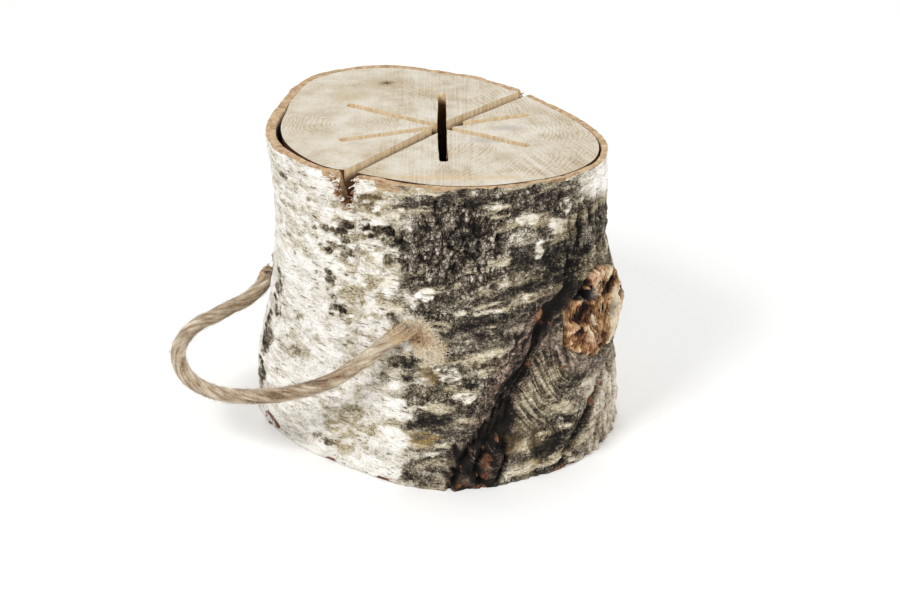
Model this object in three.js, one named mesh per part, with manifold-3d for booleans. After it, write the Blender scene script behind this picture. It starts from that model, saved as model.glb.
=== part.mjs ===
// Swedish fire log: a short birch log, sawn flat at both ends, with saw cuts in its top that
// let it burn from the inside like a candle, and a rope handle stapled to its side.
// Millimetres, +Z up, seen from the front along +Y. The log stands on z = 0.
import * as THREE from "three";
import { mergeVertices } from "three/addons/utils/BufferGeometryUtils.js";
import Module from "manifold-3d";

const wasm = await Module();
wasm.setup();

// Trunk: outer radius of the bark every 15 degrees, counted from +X towards +Y.
const LOG_HEIGHT = 200;
const TOP_RADII = [
  98, 87.5, 83, 83.5, 86.5, 94, 101.5, 114.5, 123.5, 124.5, 115.5, 110,
  110.5, 110, 106.5, 102.5, 97.5, 98, 102.5, 106.5, 110.5, 116.5, 118, 110.5,
];
const FOOT_RADII = [
  117, 106, 97, 95, 98, 105, 112, 124, 131, 133, 128, 124.5,
  122.5, 117, 111.5, 108.5, 108, 115, 120, 120.5, 120, 122, 122.5, 121.5,
];
const WAIST = { depth: 5.7, lean: -2.7, skew: 1.36 };
const TRUNK_SIDES = 96;
const BARK_ROWS = 22;
const WOOD_ROWS = 6;

// Bark: its thickness round the trunk, and the two places where the wood has shrunk away from it.
const BARK = { mean: 5.6, swing: 1.1, thickest: 150 };
const FIT = 0.3;
const SHRINKS = [
  { angle: 189, spread: 32, width: 3.3, depth: 70 },
  { angle: -14, spread: 32, width: 1.4, depth: 50 },
];
const LUMPS = { height: 0.8, angle: -45, spread: 60, round: 11, up: 0.19, slant: 0.06 };

// Saw cuts, as arms that run out from the crossing. The draught cut goes out through the bark.
const CROSSING = { x: 2.6, y: -2 };
const KERF = 6;
const PLUNGE_DEPTH = 130;
const PLUNGE_ARMS = [
  { angle: 90, reach: 59 },
  { angle: -89, reach: 58 },
  { angle: 148, reach: 73 },
  { angle: -31.5, reach: 64 },
  { angle: 199.7, reach: 69 },
  { angle: 20, reach: 60 },
];
const DRAUGHT = { depth: 24, reach: 140, width: 8.5 };
const DRAUGHT_ARMS = [
  { angle: -127.6, tear: 18 },
  { angle: 47.5, tear: 13 },
];

// Branch knot: a broken stub that stands in a swollen collar of bark.
const KNOT = { angle: -31, z: 98, radius: 26, collar: 6.3, spread: 15 };
const STUB = { proud: 7.3, sides: 24, torn: 1.7, rings: 4 };

// Furrows in the bark that run down from the knot, as [angle, z] points.
const FURROW = { width: 10, depth: 4.2, rise: 1, ridge: 2, spread: 8, steps: 10 };
const FURROWS = [
  [[-47, 112], [-55, 90], [-64, 66], [-73, 38], [-82, 2]],
  [[-24, 62], [-30, 48], [-37, 34], [-49, 8]],
];

// Swellings in the bark: a scar on the front, thick flakes low on the left, and a low right bulge.
const SWELLINGS = [
  { angle: -93, z: 164, height: 1.6, spread: 13 },
  { angle: 186, z: 44, height: 4, spread: 28 },
  { angle: -12, z: 46, height: 2.6, spread: 24 },
];

// Rope handle: where its ends are stapled, with the way that the rope and its frayed end point
// along the bark, in degrees up from the direction of growing angle, and the route between.
const ROPE = { diameter: 10, sides: 10, steps: 44, clear: 0.5, past: 6 };
const FRONT_END = { angle: -103, z: 103, heading: 41, fray: -36 };
const BACK_END = { angle: 168, z: 81, heading: 168, fray: 122 };
const ROPE_ROUTE = [
  [-34.5, -103.5, 94.5], [-44.5, -107, 87.5], [-55, -109, 80.5], [-65.5, -109, 73.5],
  [-76.5, -106.5, 67.5], [-88, -103.5, 62.5], [-99.5, -100, 58], [-111.5, -96, 55],
  [-123, -91.5, 52.5], [-135, -87, 51], [-146.5, -81.5, 51.5], [-157, -74, 53.5],
  [-164, -64, 55.5], [-168, -52, 58.5], [-169, -39.5, 61], [-166, -27.5, 63],
  [-160, -16.5, 65], [-150.5, -8, 66.5], [-140, -1.5, 70], [-129, 4.5, 73], [-120, 12.5, 77.5],
];
const FRAY = {
  strands: 24, length: 27, uneven: 0.2, fan: 46, root: 1.8, tip: 0.8, lift: 5, clear: 0.9, sides: 4,
};
const FRAY_CORE = { length: 9, radius: 4.2 };

// Staples: round wire bent to a U and hammered over the rope, with its crown sunk in the fibres.
const STAPLE = { wire: 1.8, span: 11, leg: 17, sink: 1.4, bend: 2.2, sides: 8, steps: 24 };

const UP = new THREE.Vector3(0, 0, 1);
const rad = THREE.MathUtils.degToRad;
const smooth = THREE.MathUtils.smoothstep;
const hump = (distance, spread) => Math.exp(-((distance / spread) ** 2));
const turn = (angle, from) => THREE.MathUtils.euclideanModulo(angle - from + 180, 360) - 180;

// Shape of the trunk

// A smooth closed outline through radii that are evenly spread round the trunk.
function radiusAt(radii, angle) {
  const place = (THREE.MathUtils.euclideanModulo(angle, 360) / 360) * radii.length;
  const first = Math.floor(place);
  const t = place - first;
  const [a, b, c, d] = [-1, 0, 1, 2].map((k) => radii[(first + k + radii.length) % radii.length]);
  return b + 0.5 * t * (c - a + t * (2 * a - 5 * b + 4 * c - d + t * (3 * (b - c) + d - a)));
}

// The trunk without its bark relief: flared at the foot and waisted above the middle.
function trunkRadius(angle, z) {
  const up = THREE.MathUtils.clamp(z / LOG_HEIGHT, 0, 1);
  const straight = THREE.MathUtils.lerp(radiusAt(FOOT_RADII, angle), radiusAt(TOP_RADII, angle), up);
  const depth = WAIST.depth + WAIST.lean * Math.cos(rad(angle));
  return straight - depth * Math.sin(Math.PI * up ** WAIST.skew);
}

// How far a place on the bark is from another one, along the surface.
function apart(angle, z, place) {
  const round = rad(turn(angle, place.angle)) * trunkRadius(place.angle, place.z);
  return Math.hypot(round, z - place.z);
}

// How far a place on the bark is from the line of a furrow.
function fromFurrow(angle, z, line) {
  const girth = rad(trunkRadius(angle, z));
  const flat = line.map(([a, height]) => new THREE.Vector3(turn(a, angle) * girth, height, 0));
  const here = new THREE.Vector3(0, z, 0);
  const nearest = new THREE.Vector3();
  const gaps = flat.slice(1).map((end, i) => {
    new THREE.Line3(flat[i], end).closestPointToPoint(here, true, nearest);
    return nearest.distanceTo(here);
  });
  return Math.min(...gaps);
}

// What the bark adds to the trunk: the knot's collar, swellings, ridges beside furrows, and lumps.
function barkRelief(angle, z) {
  const collar = KNOT.collar * hump(Math.max(0, apart(angle, z, KNOT) - KNOT.radius), KNOT.spread);
  const swollen = SWELLINGS.map((place) => place.height * hump(apart(angle, z, place), place.spread));
  const away = Math.min(...FURROWS.map((line) => fromFurrow(angle, z, line)));
  const ridge = FURROW.ridge * hump(away - FURROW.width, FURROW.spread);
  const rough = LUMPS.height * hump(turn(angle, LUMPS.angle), LUMPS.spread);
  const waves = Math.sin(rad(angle * LUMPS.round) + z * LUMPS.slant) * Math.sin(z * LUMPS.up);
  return Math.max(collar, ridge, ...swollen) + rough * waves;
}

function barkRadius(angle, z) {
  return trunkRadius(angle, z) + barkRelief(angle, z);
}

function barkInside(angle, z) {
  const thick = BARK.mean + BARK.swing * Math.cos(rad(angle - BARK.thickest));
  return trunkRadius(angle, z) - thick;
}

function woodRadius(angle, z) {
  const shrunk = SHRINKS.map((gap) => {
    const side = Math.min(1, Math.abs(turn(angle, gap.angle)) / gap.spread);
    const down = smooth(z, LOG_HEIGHT - gap.depth, LOG_HEIGHT);
    return gap.width * Math.cos((side * Math.PI) / 2) * down;
  });
  return barkInside(angle, z) - FIT - shrunk.reduce((sum, width) => sum + width);
}

function polar(radius, angle, z) {
  return new THREE.Vector3(radius * Math.cos(rad(angle)), radius * Math.sin(rad(angle)), z);
}

// Solids

function solid(geometry) {
  const bare = geometry.clone();
  ["normal", "uv"].forEach((name) => bare.deleteAttribute(name));
  const merged = mergeVertices(bare, 1e-4);
  const vertProperties = merged.getAttribute("position").array;
  const triVerts = new Uint32Array(merged.index.array);
  return new wasm.Manifold(new wasm.Mesh({ numProp: 3, vertProperties, triVerts }));
}

// Moves every vertex of a geometry to where a rule says, and makes a solid of it.
function bent(geometry, rule) {
  const places = geometry.getAttribute("position");
  for (let i = 0; i < places.count; i++) {
    const to = rule(new THREE.Vector3().fromBufferAttribute(places, i));
    places.setXYZ(i, to.x, to.y, to.z);
  }
  return solid(geometry);
}

function joined(solids) {
  return solids.reduce((whole, piece) => whole.add(piece));
}

function cut(whole, cutters) {
  return cutters.reduce((left, cutter) => left.subtract(cutter), whole);
}

// A bar of even section along a curve.
function bar(section, curve, steps) {
  return solid(new THREE.ExtrudeGeometry(section, { steps, extrudePath: curve, bevelEnabled: false }));
}

function roundSection(radius, sides) {
  const corner = (_, i) => {
    const round = (i / sides) * 2 * Math.PI;
    return new THREE.Vector2(radius * Math.cos(round), radius * Math.sin(round));
  };
  return new THREE.Shape(Array.from({ length: sides }, corner));
}

// Wood

function trunkWood() {
  const post = new THREE.CylinderGeometry(1, 1, LOG_HEIGHT, TRUNK_SIDES, WOOD_ROWS);
  post.rotateX(Math.PI / 2);
  post.translate(0, 0, LOG_HEIGHT / 2);
  return bent(post, (p) => {
    const angle = THREE.MathUtils.radToDeg(Math.atan2(p.y, p.x));
    return polar(Math.hypot(p.x, p.y) * woodRadius(angle, p.z), angle, p.z);
  });
}

// The broken branch stub: a short post that stands out radially, with a torn, uneven end.
function knotStub() {
  const surface = trunkRadius(KNOT.angle, KNOT.z);
  const radius = KNOT.radius - 2 * FIT;
  const profile = [new THREE.Vector2(0, surface / 2), new THREE.Vector2(radius, surface / 2)];
  for (let ring = STUB.rings; ring >= 0; ring--) {
    profile.push(new THREE.Vector2((radius * ring) / STUB.rings, surface + STUB.proud));
  }
  const post = new THREE.LatheGeometry(profile, STUB.sides);
  post.rotateZ(-Math.PI / 2);
  return bent(post, (p) => {
    const round = Math.atan2(p.z, p.y);
    const from = Math.hypot(p.y, p.z);
    const waves = Math.sin(5 * round + from / 3) + Math.sin(3 * round - from / 2) - Math.cos(from / 3);
    const out = p.x > surface ? p.x + STUB.torn * waves : p.x;
    return new THREE.Vector3(out, p.y, p.z + KNOT.z).applyAxisAngle(UP, rad(KNOT.angle));
  });
}

// Saw cuts

// An upright slab from the crossing out along one arm, open above the log.
function armCut(angle, reach, width, depth) {
  const over = width;
  const slab = new THREE.BoxGeometry(reach + width / 2, width, depth + over);
  slab.translate(reach / 2 - width / 4, 0, LOG_HEIGHT + (over - depth) / 2);
  slab.rotateZ(rad(angle));
  slab.translate(CROSSING.x, CROSSING.y, 0);
  return solid(slab);
}

// The torn notch where a draught arm leaves through the bark, wide at the rim and narrow below.
function tearCut({ angle, tear }) {
  const foot = LOG_HEIGHT - DRAUGHT.depth;
  const outline = new THREE.Shape();
  outline.moveTo(-KERF / 4, foot);
  outline.lineTo(KERF / 4, foot);
  outline.lineTo(KERF / 2, foot + KERF);
  outline.lineTo(tear / 2, LOG_HEIGHT);
  outline.lineTo(tear / 2, LOG_HEIGHT + KERF);
  outline.lineTo(-tear / 2, LOG_HEIGHT + KERF);
  outline.lineTo(-tear / 2, LOG_HEIGHT);
  outline.lineTo(-KERF / 2, foot + KERF);
  const wedge = new THREE.ExtrudeGeometry(outline, { depth: DRAUGHT.reach / 2, bevelEnabled: false });
  wedge.rotateX(Math.PI / 2);
  wedge.rotateZ(Math.PI / 2);
  wedge.translate(DRAUGHT.reach / 2, 0, 0);
  wedge.rotateZ(rad(angle));
  wedge.translate(CROSSING.x, CROSSING.y, 0);
  return solid(wedge);
}

// Bark

// A ring with a closed section, whose walls are then laid on the trunk's two outlines.
function barkSleeve() {
  const [inner, outer] = [1, 2];
  const section = [new THREE.Vector2(inner, 0)];
  for (let row = 0; row <= BARK_ROWS; row++) {
    section.push(new THREE.Vector2(outer, (row / BARK_ROWS) * LOG_HEIGHT));
  }
  for (let row = WOOD_ROWS; row >= 0; row--) {
    section.push(new THREE.Vector2(inner, (row / WOOD_ROWS) * LOG_HEIGHT));
  }
  const ring = new THREE.LatheGeometry(section, TRUNK_SIDES);
  ring.rotateX(Math.PI / 2);
  return bent(ring, (p) => {
    const angle = THREE.MathUtils.radToDeg(Math.atan2(p.y, p.x));
    const outside = Math.hypot(p.x, p.y) > (inner + outer) / 2;
    return polar(outside ? barkRadius(angle, p.z) : barkInside(angle, p.z), angle, p.z);
  });
}

// The round hole that the branch stub stands in.
function knotHole() {
  const reach = trunkRadius(KNOT.angle, KNOT.z) * 2;
  const drill = new THREE.CylinderGeometry(KNOT.radius, KNOT.radius, reach / 2, STUB.sides);
  drill.rotateZ(-Math.PI / 2);
  drill.translate((reach * 3) / 8 + KNOT.radius, 0, KNOT.z);
  drill.rotateZ(rad(KNOT.angle));
  return solid(drill);
}

// A V-shaped groove along a line on the bark.
function furrowCut(line) {
  const route = line.map(([angle, z]) => polar(barkRadius(angle, z) + FURROW.rise, angle, z));
  const section = new THREE.Shape();
  section.moveTo(-FURROW.depth, 0);
  section.lineTo(0, -FURROW.width / 2);
  section.lineTo(FURROW.depth, 0);
  section.lineTo(0, FURROW.width / 2);
  return bar(section, new THREE.CatmullRomCurve3(route), FURROW.steps);
}

// Rope handle

// An offset along the bark: a length in a direction.
function step(length, direction) {
  return new THREE.Vector2(length * Math.cos(rad(direction)), length * Math.sin(rad(direction)));
}

// A point beside a rope end: an offset along the bark, and a height off it.
function beside(end, offset, above) {
  const angle = end.angle + THREE.MathUtils.radToDeg(offset.x / trunkRadius(end.angle, end.z));
  const z = end.z + offset.y;
  return polar(barkRadius(angle, z) + above, angle, z);
}

const ropeHeight = ROPE.diameter / 2 + ROPE.clear;

// A point on the rope's middle line, from its staple on towards its end.
function alongEnd(end, length) {
  return beside(end, step(length, end.heading), ropeHeight);
}

function ropeCurve() {
  const stapled = (end) => [0, ROPE.past].map((length) => alongEnd(end, length));
  const hanging = ROPE_ROUTE.map((p) => new THREE.Vector3(...p));
  return new THREE.CatmullRomCurve3([...stapled(FRONT_END).reverse(), ...hanging, ...stapled(BACK_END)]);
}

// One loose strand of a frayed end: a tapered spike that leans off the bark and bends along it.
function frayStrand(end, direction, length, lean) {
  const root = step(ROPE.past + FRAY_CORE.length / 2, end.heading);
  const spike = new THREE.CylinderGeometry(FRAY.tip, FRAY.root, length, FRAY.sides, 3);
  spike.translate(0, length / 2, 0);
  return bent(spike, (p) => {
    const above = Math.max(FRAY.clear + FRAY.tip, ropeHeight + (lean * p.y) / length);
    const offset = new THREE.Vector2(p.y, -p.x).rotateAround(new THREE.Vector2(), rad(direction)).add(root);
    return beside(end, offset, above + p.z);
  });
}

// A frayed rope end: strands fanned out from a short core that meets the rope face to face.
function frayedEnd(end) {
  const start = alongEnd(end, ROPE.past);
  const ahead = start.clone().sub(alongEnd(end, ROPE.past - 1)).normalize();
  const core = new THREE.CylinderGeometry(FRAY.root, FRAY_CORE.radius, FRAY_CORE.length, ROPE.sides);
  core.translate(0, FRAY_CORE.length / 2 + FIT, 0);
  core.applyQuaternion(new THREE.Quaternion().setFromUnitVectors(new THREE.Vector3(0, 1, 0), ahead));
  core.translate(...start);
  const strands = Array.from({ length: FRAY.strands }, (_, i) => {
    const share = (i + 0.5) / FRAY.strands - 0.5;
    const length = FRAY.length * (1 - FRAY.uneven + FRAY.uneven * Math.cos(7 * i));
    return frayStrand(end, end.fray + 2 * FRAY.fan * share, length, FRAY.lift * Math.sin(5 * i));
  });
  return joined([solid(core), ...strands]);
}

// Staples

// The wire of a staple: up one leg out of the wood, over the rope, and down the other leg.
// With room round it, it is the clearance that the wood, the bark and the rope leave for it.
function stapleWire(end, room) {
  const across = end.heading + 90;
  const seat = beside(end, step(0, 0), 0);
  const out = polar(1, end.angle, 0);
  const side = beside(end, step(STAPLE.span, across), 0).sub(seat);
  side.addScaledVector(out, -side.dot(out)).normalize();
  const crown = ropeHeight + ROPE.diameter / 2 - STAPLE.sink + STAPLE.wire / 2;
  const place = (sideways, above) =>
    seat.clone().addScaledVector(side, sideways).addScaledVector(out, above);
  const half = STAPLE.span / 2;
  const tip = STAPLE.leg + room;
  const inset = half - STAPLE.bend;
  const route = new THREE.CatmullRomCurve3([
    place(-half, -tip), place(-half, -tip / 2), place(-half, 0), place(-half, crown - STAPLE.bend),
    place(-inset, crown), place(inset, crown),
    place(half, crown - STAPLE.bend), place(half, 0), place(half, -tip / 2), place(half, -tip),
  ], false, "centripetal");
  return bar(roundSection(STAPLE.wire / 2 + room, STAPLE.sides), route, STAPLE.steps);
}

// Materials

function finish(color, roughness, metalness) {
  return new THREE.MeshStandardMaterial({ color, roughness, metalness });
}

const WOOD_FINISH = finish(0xd9ccb4, 0.8, 0);
const BARK_FINISH = finish(0x9a948a, 0.9, 0);
const ROPE_FINISH = finish(0xb0946c, 0.95, 0);
const STEEL_FINISH = finish(0x5a5048, 0.5, 1);

function meshOf(name, made, material) {
  const { vertProperties, triVerts } = made.getMesh();
  const geometry = new THREE.BufferGeometry();
  geometry.setAttribute("position", new THREE.BufferAttribute(vertProperties, 3));
  geometry.setIndex(new THREE.BufferAttribute(triVerts, 1));
  geometry.computeVertexNormals();
  const mesh = new THREE.Mesh(geometry, material);
  mesh.name = name;
  return mesh;
}

// Assembly

const ends = [FRONT_END, BACK_END];
const stapleRoom = ends.map((end) => stapleWire(end, FIT));
const plungeCuts = PLUNGE_ARMS.map(({ angle, reach }) => armCut(angle, reach, KERF, PLUNGE_DEPTH));
const draughtCuts = DRAUGHT_ARMS.map(({ angle }) => {
  return armCut(angle, DRAUGHT.reach, DRAUGHT.width, DRAUGHT.depth);
});

const wood = cut(joined([trunkWood(), knotStub()]), [...plungeCuts, ...draughtCuts, ...stapleRoom]);
const bark = cut(barkSleeve(), [
  knotHole(), ...FURROWS.map(furrowCut), ...DRAUGHT_ARMS.map(tearCut), ...stapleRoom,
]);
const rope = cut(bar(roundSection(ROPE.diameter / 2, ROPE.sides), ropeCurve(), ROPE.steps), stapleRoom);

const log = new THREE.Group();
log.add(meshOf("wood_log", wood, WOOD_FINISH));
log.add(meshOf("bark", bark, BARK_FINISH));
log.add(meshOf("staple_front", stapleWire(FRONT_END, 0), STEEL_FINISH));
log.add(meshOf("staple_back", stapleWire(BACK_END, 0), STEEL_FINISH));

// The origin is under the middle of the log, without its rope.
const middle = new THREE.Box3().setFromObject(log).getCenter(new THREE.Vector3());
log.position.set(-middle.x, -middle.y, 0);

log.add(meshOf("rope_handle", rope, ROPE_FINISH));
log.add(meshOf("frayed_end_front", frayedEnd(FRONT_END), ROPE_FINISH));
log.add(meshOf("frayed_end_back", frayedEnd(BACK_END), ROPE_FINISH));

export default log;
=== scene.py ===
"""Looks of a Swedish fire log: birch bark, a sawn top, a broken branch knot and a rope handle."""
import math
import random

import bmesh
import bpy
import numpy as np
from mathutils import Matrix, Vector
from mathutils.bvhtree import BVHTree


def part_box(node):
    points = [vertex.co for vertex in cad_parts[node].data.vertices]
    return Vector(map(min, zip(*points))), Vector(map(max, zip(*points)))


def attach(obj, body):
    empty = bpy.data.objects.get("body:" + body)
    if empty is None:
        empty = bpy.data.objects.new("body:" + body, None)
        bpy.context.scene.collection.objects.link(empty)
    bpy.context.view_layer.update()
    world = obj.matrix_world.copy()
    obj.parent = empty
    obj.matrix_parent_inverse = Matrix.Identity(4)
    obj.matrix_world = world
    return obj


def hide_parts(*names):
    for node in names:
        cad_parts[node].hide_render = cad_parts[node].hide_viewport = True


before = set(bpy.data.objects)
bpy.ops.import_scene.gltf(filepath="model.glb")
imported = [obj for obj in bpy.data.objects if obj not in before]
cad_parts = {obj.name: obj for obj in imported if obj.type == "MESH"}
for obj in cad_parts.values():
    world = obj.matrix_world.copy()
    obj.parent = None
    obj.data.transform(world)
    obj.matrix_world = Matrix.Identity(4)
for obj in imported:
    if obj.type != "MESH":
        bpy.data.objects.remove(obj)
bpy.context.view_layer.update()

# Shapes are worked out in millimetres and scaled to metres as each mesh is made.
MM = 0.001
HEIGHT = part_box("wood_log")[1].z / MM
AXIS = np.array((0.74, 0.60, 0.0))  # the trunk's axis, near the middle of the frame
UP = np.array((0.0, 0.0, 1.0))
INSIDE = 0.3  # how far off its sawn ends the solids are measured
ROUND = 112.0  # a middling radius, to turn degrees into millimetres along the bark
ARC = ROUND * math.pi / 180

# Camera: the photograph's own place, tilt and lens
CAMERA_PLACE = (0.00080, -1.40743, 0.76564)
CAMERA_TILT = 63.88
CAMERA_PAN = -0.3134
CAMERA_LENS = 94.4

# Studio: a pale floor, and soft square lights as (name, place, size, power)
FLOOR_REACH = 8
LIGHTS = [
    ("key_light", (-1.3, -1.5, 1.9), 0.9, 38),
    ("fill_light", (1.8, -1.1, 1.3), 1.0, 20),
    ("top_light", (0.2, 0.9, 2.0), 1.6, 13),
]
SURROUND = 0.52  # the strength of the plain white light from all round

# Rope handle: the route of its middle, from the frayed front end to the back one
ROPE_ROUTE = [
    (-18.6, -104.4, 106.9), (-23.1, -102.8, 103.0), (-33.8, -102.9, 94.5), (-43.8, -106.4, 87.5),
    (-54.3, -108.4, 80.5), (-64.8, -108.4, 73.5), (-75.8, -105.9, 67.5), (-87.3, -102.9, 62.5),
    (-98.8, -99.4, 58.0), (-110.8, -95.4, 55.0), (-122.3, -90.9, 52.5), (-134.3, -86.4, 51.0),
    (-145.8, -80.9, 51.5), (-156.3, -73.4, 53.5), (-163.3, -63.4, 55.5), (-167.3, -51.4, 58.5),
    (-168.3, -38.9, 61.0), (-165.3, -26.9, 63.0), (-159.3, -15.9, 65.0), (-149.8, -7.4, 66.5),
    (-139.3, -0.9, 70.0), (-128.3, 5.1, 73.0), (-119.3, 13.1, 77.5), (-114.0, 25.0, 81.0),
    (-112.7, 31.0, 82.2),
]
ROPE_DIAMETER = 10.0
ROPE_PITCH = 90.0
ROPE_RINGS = 300
ROPE_SIDES = 45
ROPE_FIBRES = 2600
CURVE_STEPS = 24  # from one point of the route to the next

# Branch knot: where its broken stub stands out of the bark
KNOT_ANGLE = -31.0
KNOT_HEIGHT = 98.0
KNOT_RADIUS = 31.0
KNOT_SHIFT = (1.5, 2.0)  # how far its middle is to the left of that and above it
KNOT_TALL = 1.06  # its height over its width
FOLD_HEIGHT = 85.0  # the middle of the folds that run round below the knot


# Noise that is the same on every run


def corner_values(cells, seed):
    """A random number from 0 to 1 for each whole-numbered cell."""
    mixed = cells @ np.array((73856093, 19349663, 83492791)) + seed * 1013904223
    for factor in (1274126177, 668265263):
        mixed = mixed & 0xFFFFFFFF
        mixed = ((mixed ^ (mixed >> 15)) * factor) & 0xFFFFFFFF
    return (mixed ^ (mixed >> 13)) / 0xFFFFFFFF


def noise(points, size, seed=0):
    """Smooth noise from -1 to 1 with lumps of that size in millimetres, one size or one per axis."""
    scaled = points / np.asarray(size, float)
    cell = np.floor(scaled).astype(np.int64)
    share = scaled - cell
    share = share * share * (3 - 2 * share)
    total = np.zeros(len(points))
    for corner in np.ndindex(2, 2, 2):
        weight = np.where(corner, share, 1 - share).prod(axis=1)
        total += weight * corner_values(cell + corner, seed)
    return 2 * total - 1


def rough_noise(points, size, octaves=4, seed=0):
    """Noise with ever finer lumps added, each half the size and half the strength of the last."""
    strengths = [0.5 ** k for k in range(octaves)]
    layers = [s * noise(points, np.asarray(size) * s, seed + 7 * k) for k, s in enumerate(strengths)]
    return 1.6 * sum(layers) / sum(strengths)


def plates(points, size, seed=0):
    """For each point, how far off the crack round its plate is, and the plate's own number, 0 to 1."""
    scaled = points / np.asarray(size, float)
    cell = np.floor(scaled).astype(np.int64)
    nearest = np.full(len(points), 9.0)
    second = nearest.copy()
    own = np.zeros(len(points))
    for step in np.ndindex(3, 3, 3):
        other = cell + step - 1
        centre = other + np.stack([corner_values(other, seed + k) for k in (1, 2, 3)], axis=1)
        distance = np.linalg.norm(centre - scaled, axis=1)
        second = np.where(distance < nearest, nearest, np.minimum(second, distance))
        own = np.where(distance < nearest, corner_values(other, seed + 4), own)
        nearest = np.minimum(nearest, distance)
    return second - nearest, own


def ease(value, low, high):
    """0 below low, 1 above high, and a smooth step between."""
    share = np.clip((value - low) / (high - low), 0, 1)
    return share * share * (3 - 2 * share)


# Making pieces


def grid_faces(rows, columns, close_rows=False, close_columns=True):
    """The quads of a grid whose points are counted row by row."""
    faces = []
    for row in range(rows if close_rows else rows - 1):
        for column in range(columns if close_columns else columns - 1):
            this, above = row * columns, (row + 1) % rows * columns
            beside = (column + 1) % columns
            faces.append((this + column, this + beside, above + beside, above + column))
    return faces


def add_piece(name, points, faces, material, marks=None, smooth=True):
    """A piece of the log from points in millimetres, with numbers that its material reads."""
    mesh = bpy.data.meshes.new(name)
    mesh.from_pydata((np.asarray(points) * MM).tolist(), [], faces)
    for mark, values in (marks or {}).items():
        layer = mesh.attributes.new(mark, "FLOAT", "POINT")
        layer.data.foreach_set("value", np.asarray(values, np.float32).ravel())
    mesh.polygons.foreach_set("use_smooth", [smooth] * len(mesh.polygons))
    mesh.materials.append(material)
    mesh.update()
    piece = bpy.data.objects.new(name, mesh)
    bpy.context.scene.collection.objects.link(piece)
    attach(piece, "root")
    return piece


def on_trunk(radius, angle, z):
    """Points at angles in degrees round the trunk's axis, counted from +X towards +Y."""
    turn = np.radians(angle)
    return np.stack([radius * np.cos(turn), radius * np.sin(turn), z], axis=-1) + AXIS


def compass(angle):
    """Level directions: the one at an angle in degrees, and the one to the left of it."""
    turn = math.radians(angle)
    ahead = np.array((math.cos(turn), math.sin(turn), 0))
    return ahead, np.array((-ahead[1], ahead[0], 0))


def apart(angle, other):
    """The turn between two angles, from -180 to 180 degrees."""
    return (angle - other + 180) % 360 - 180


# Making materials


def srgb(red, green, blue):
    """A colour as a screen shows it, 0 to 255, turned to the light it stands for."""
    return tuple(((c / 255 + 0.055) / 1.055) ** 2.4 for c in (red, green, blue)) + (1.0,)


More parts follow.
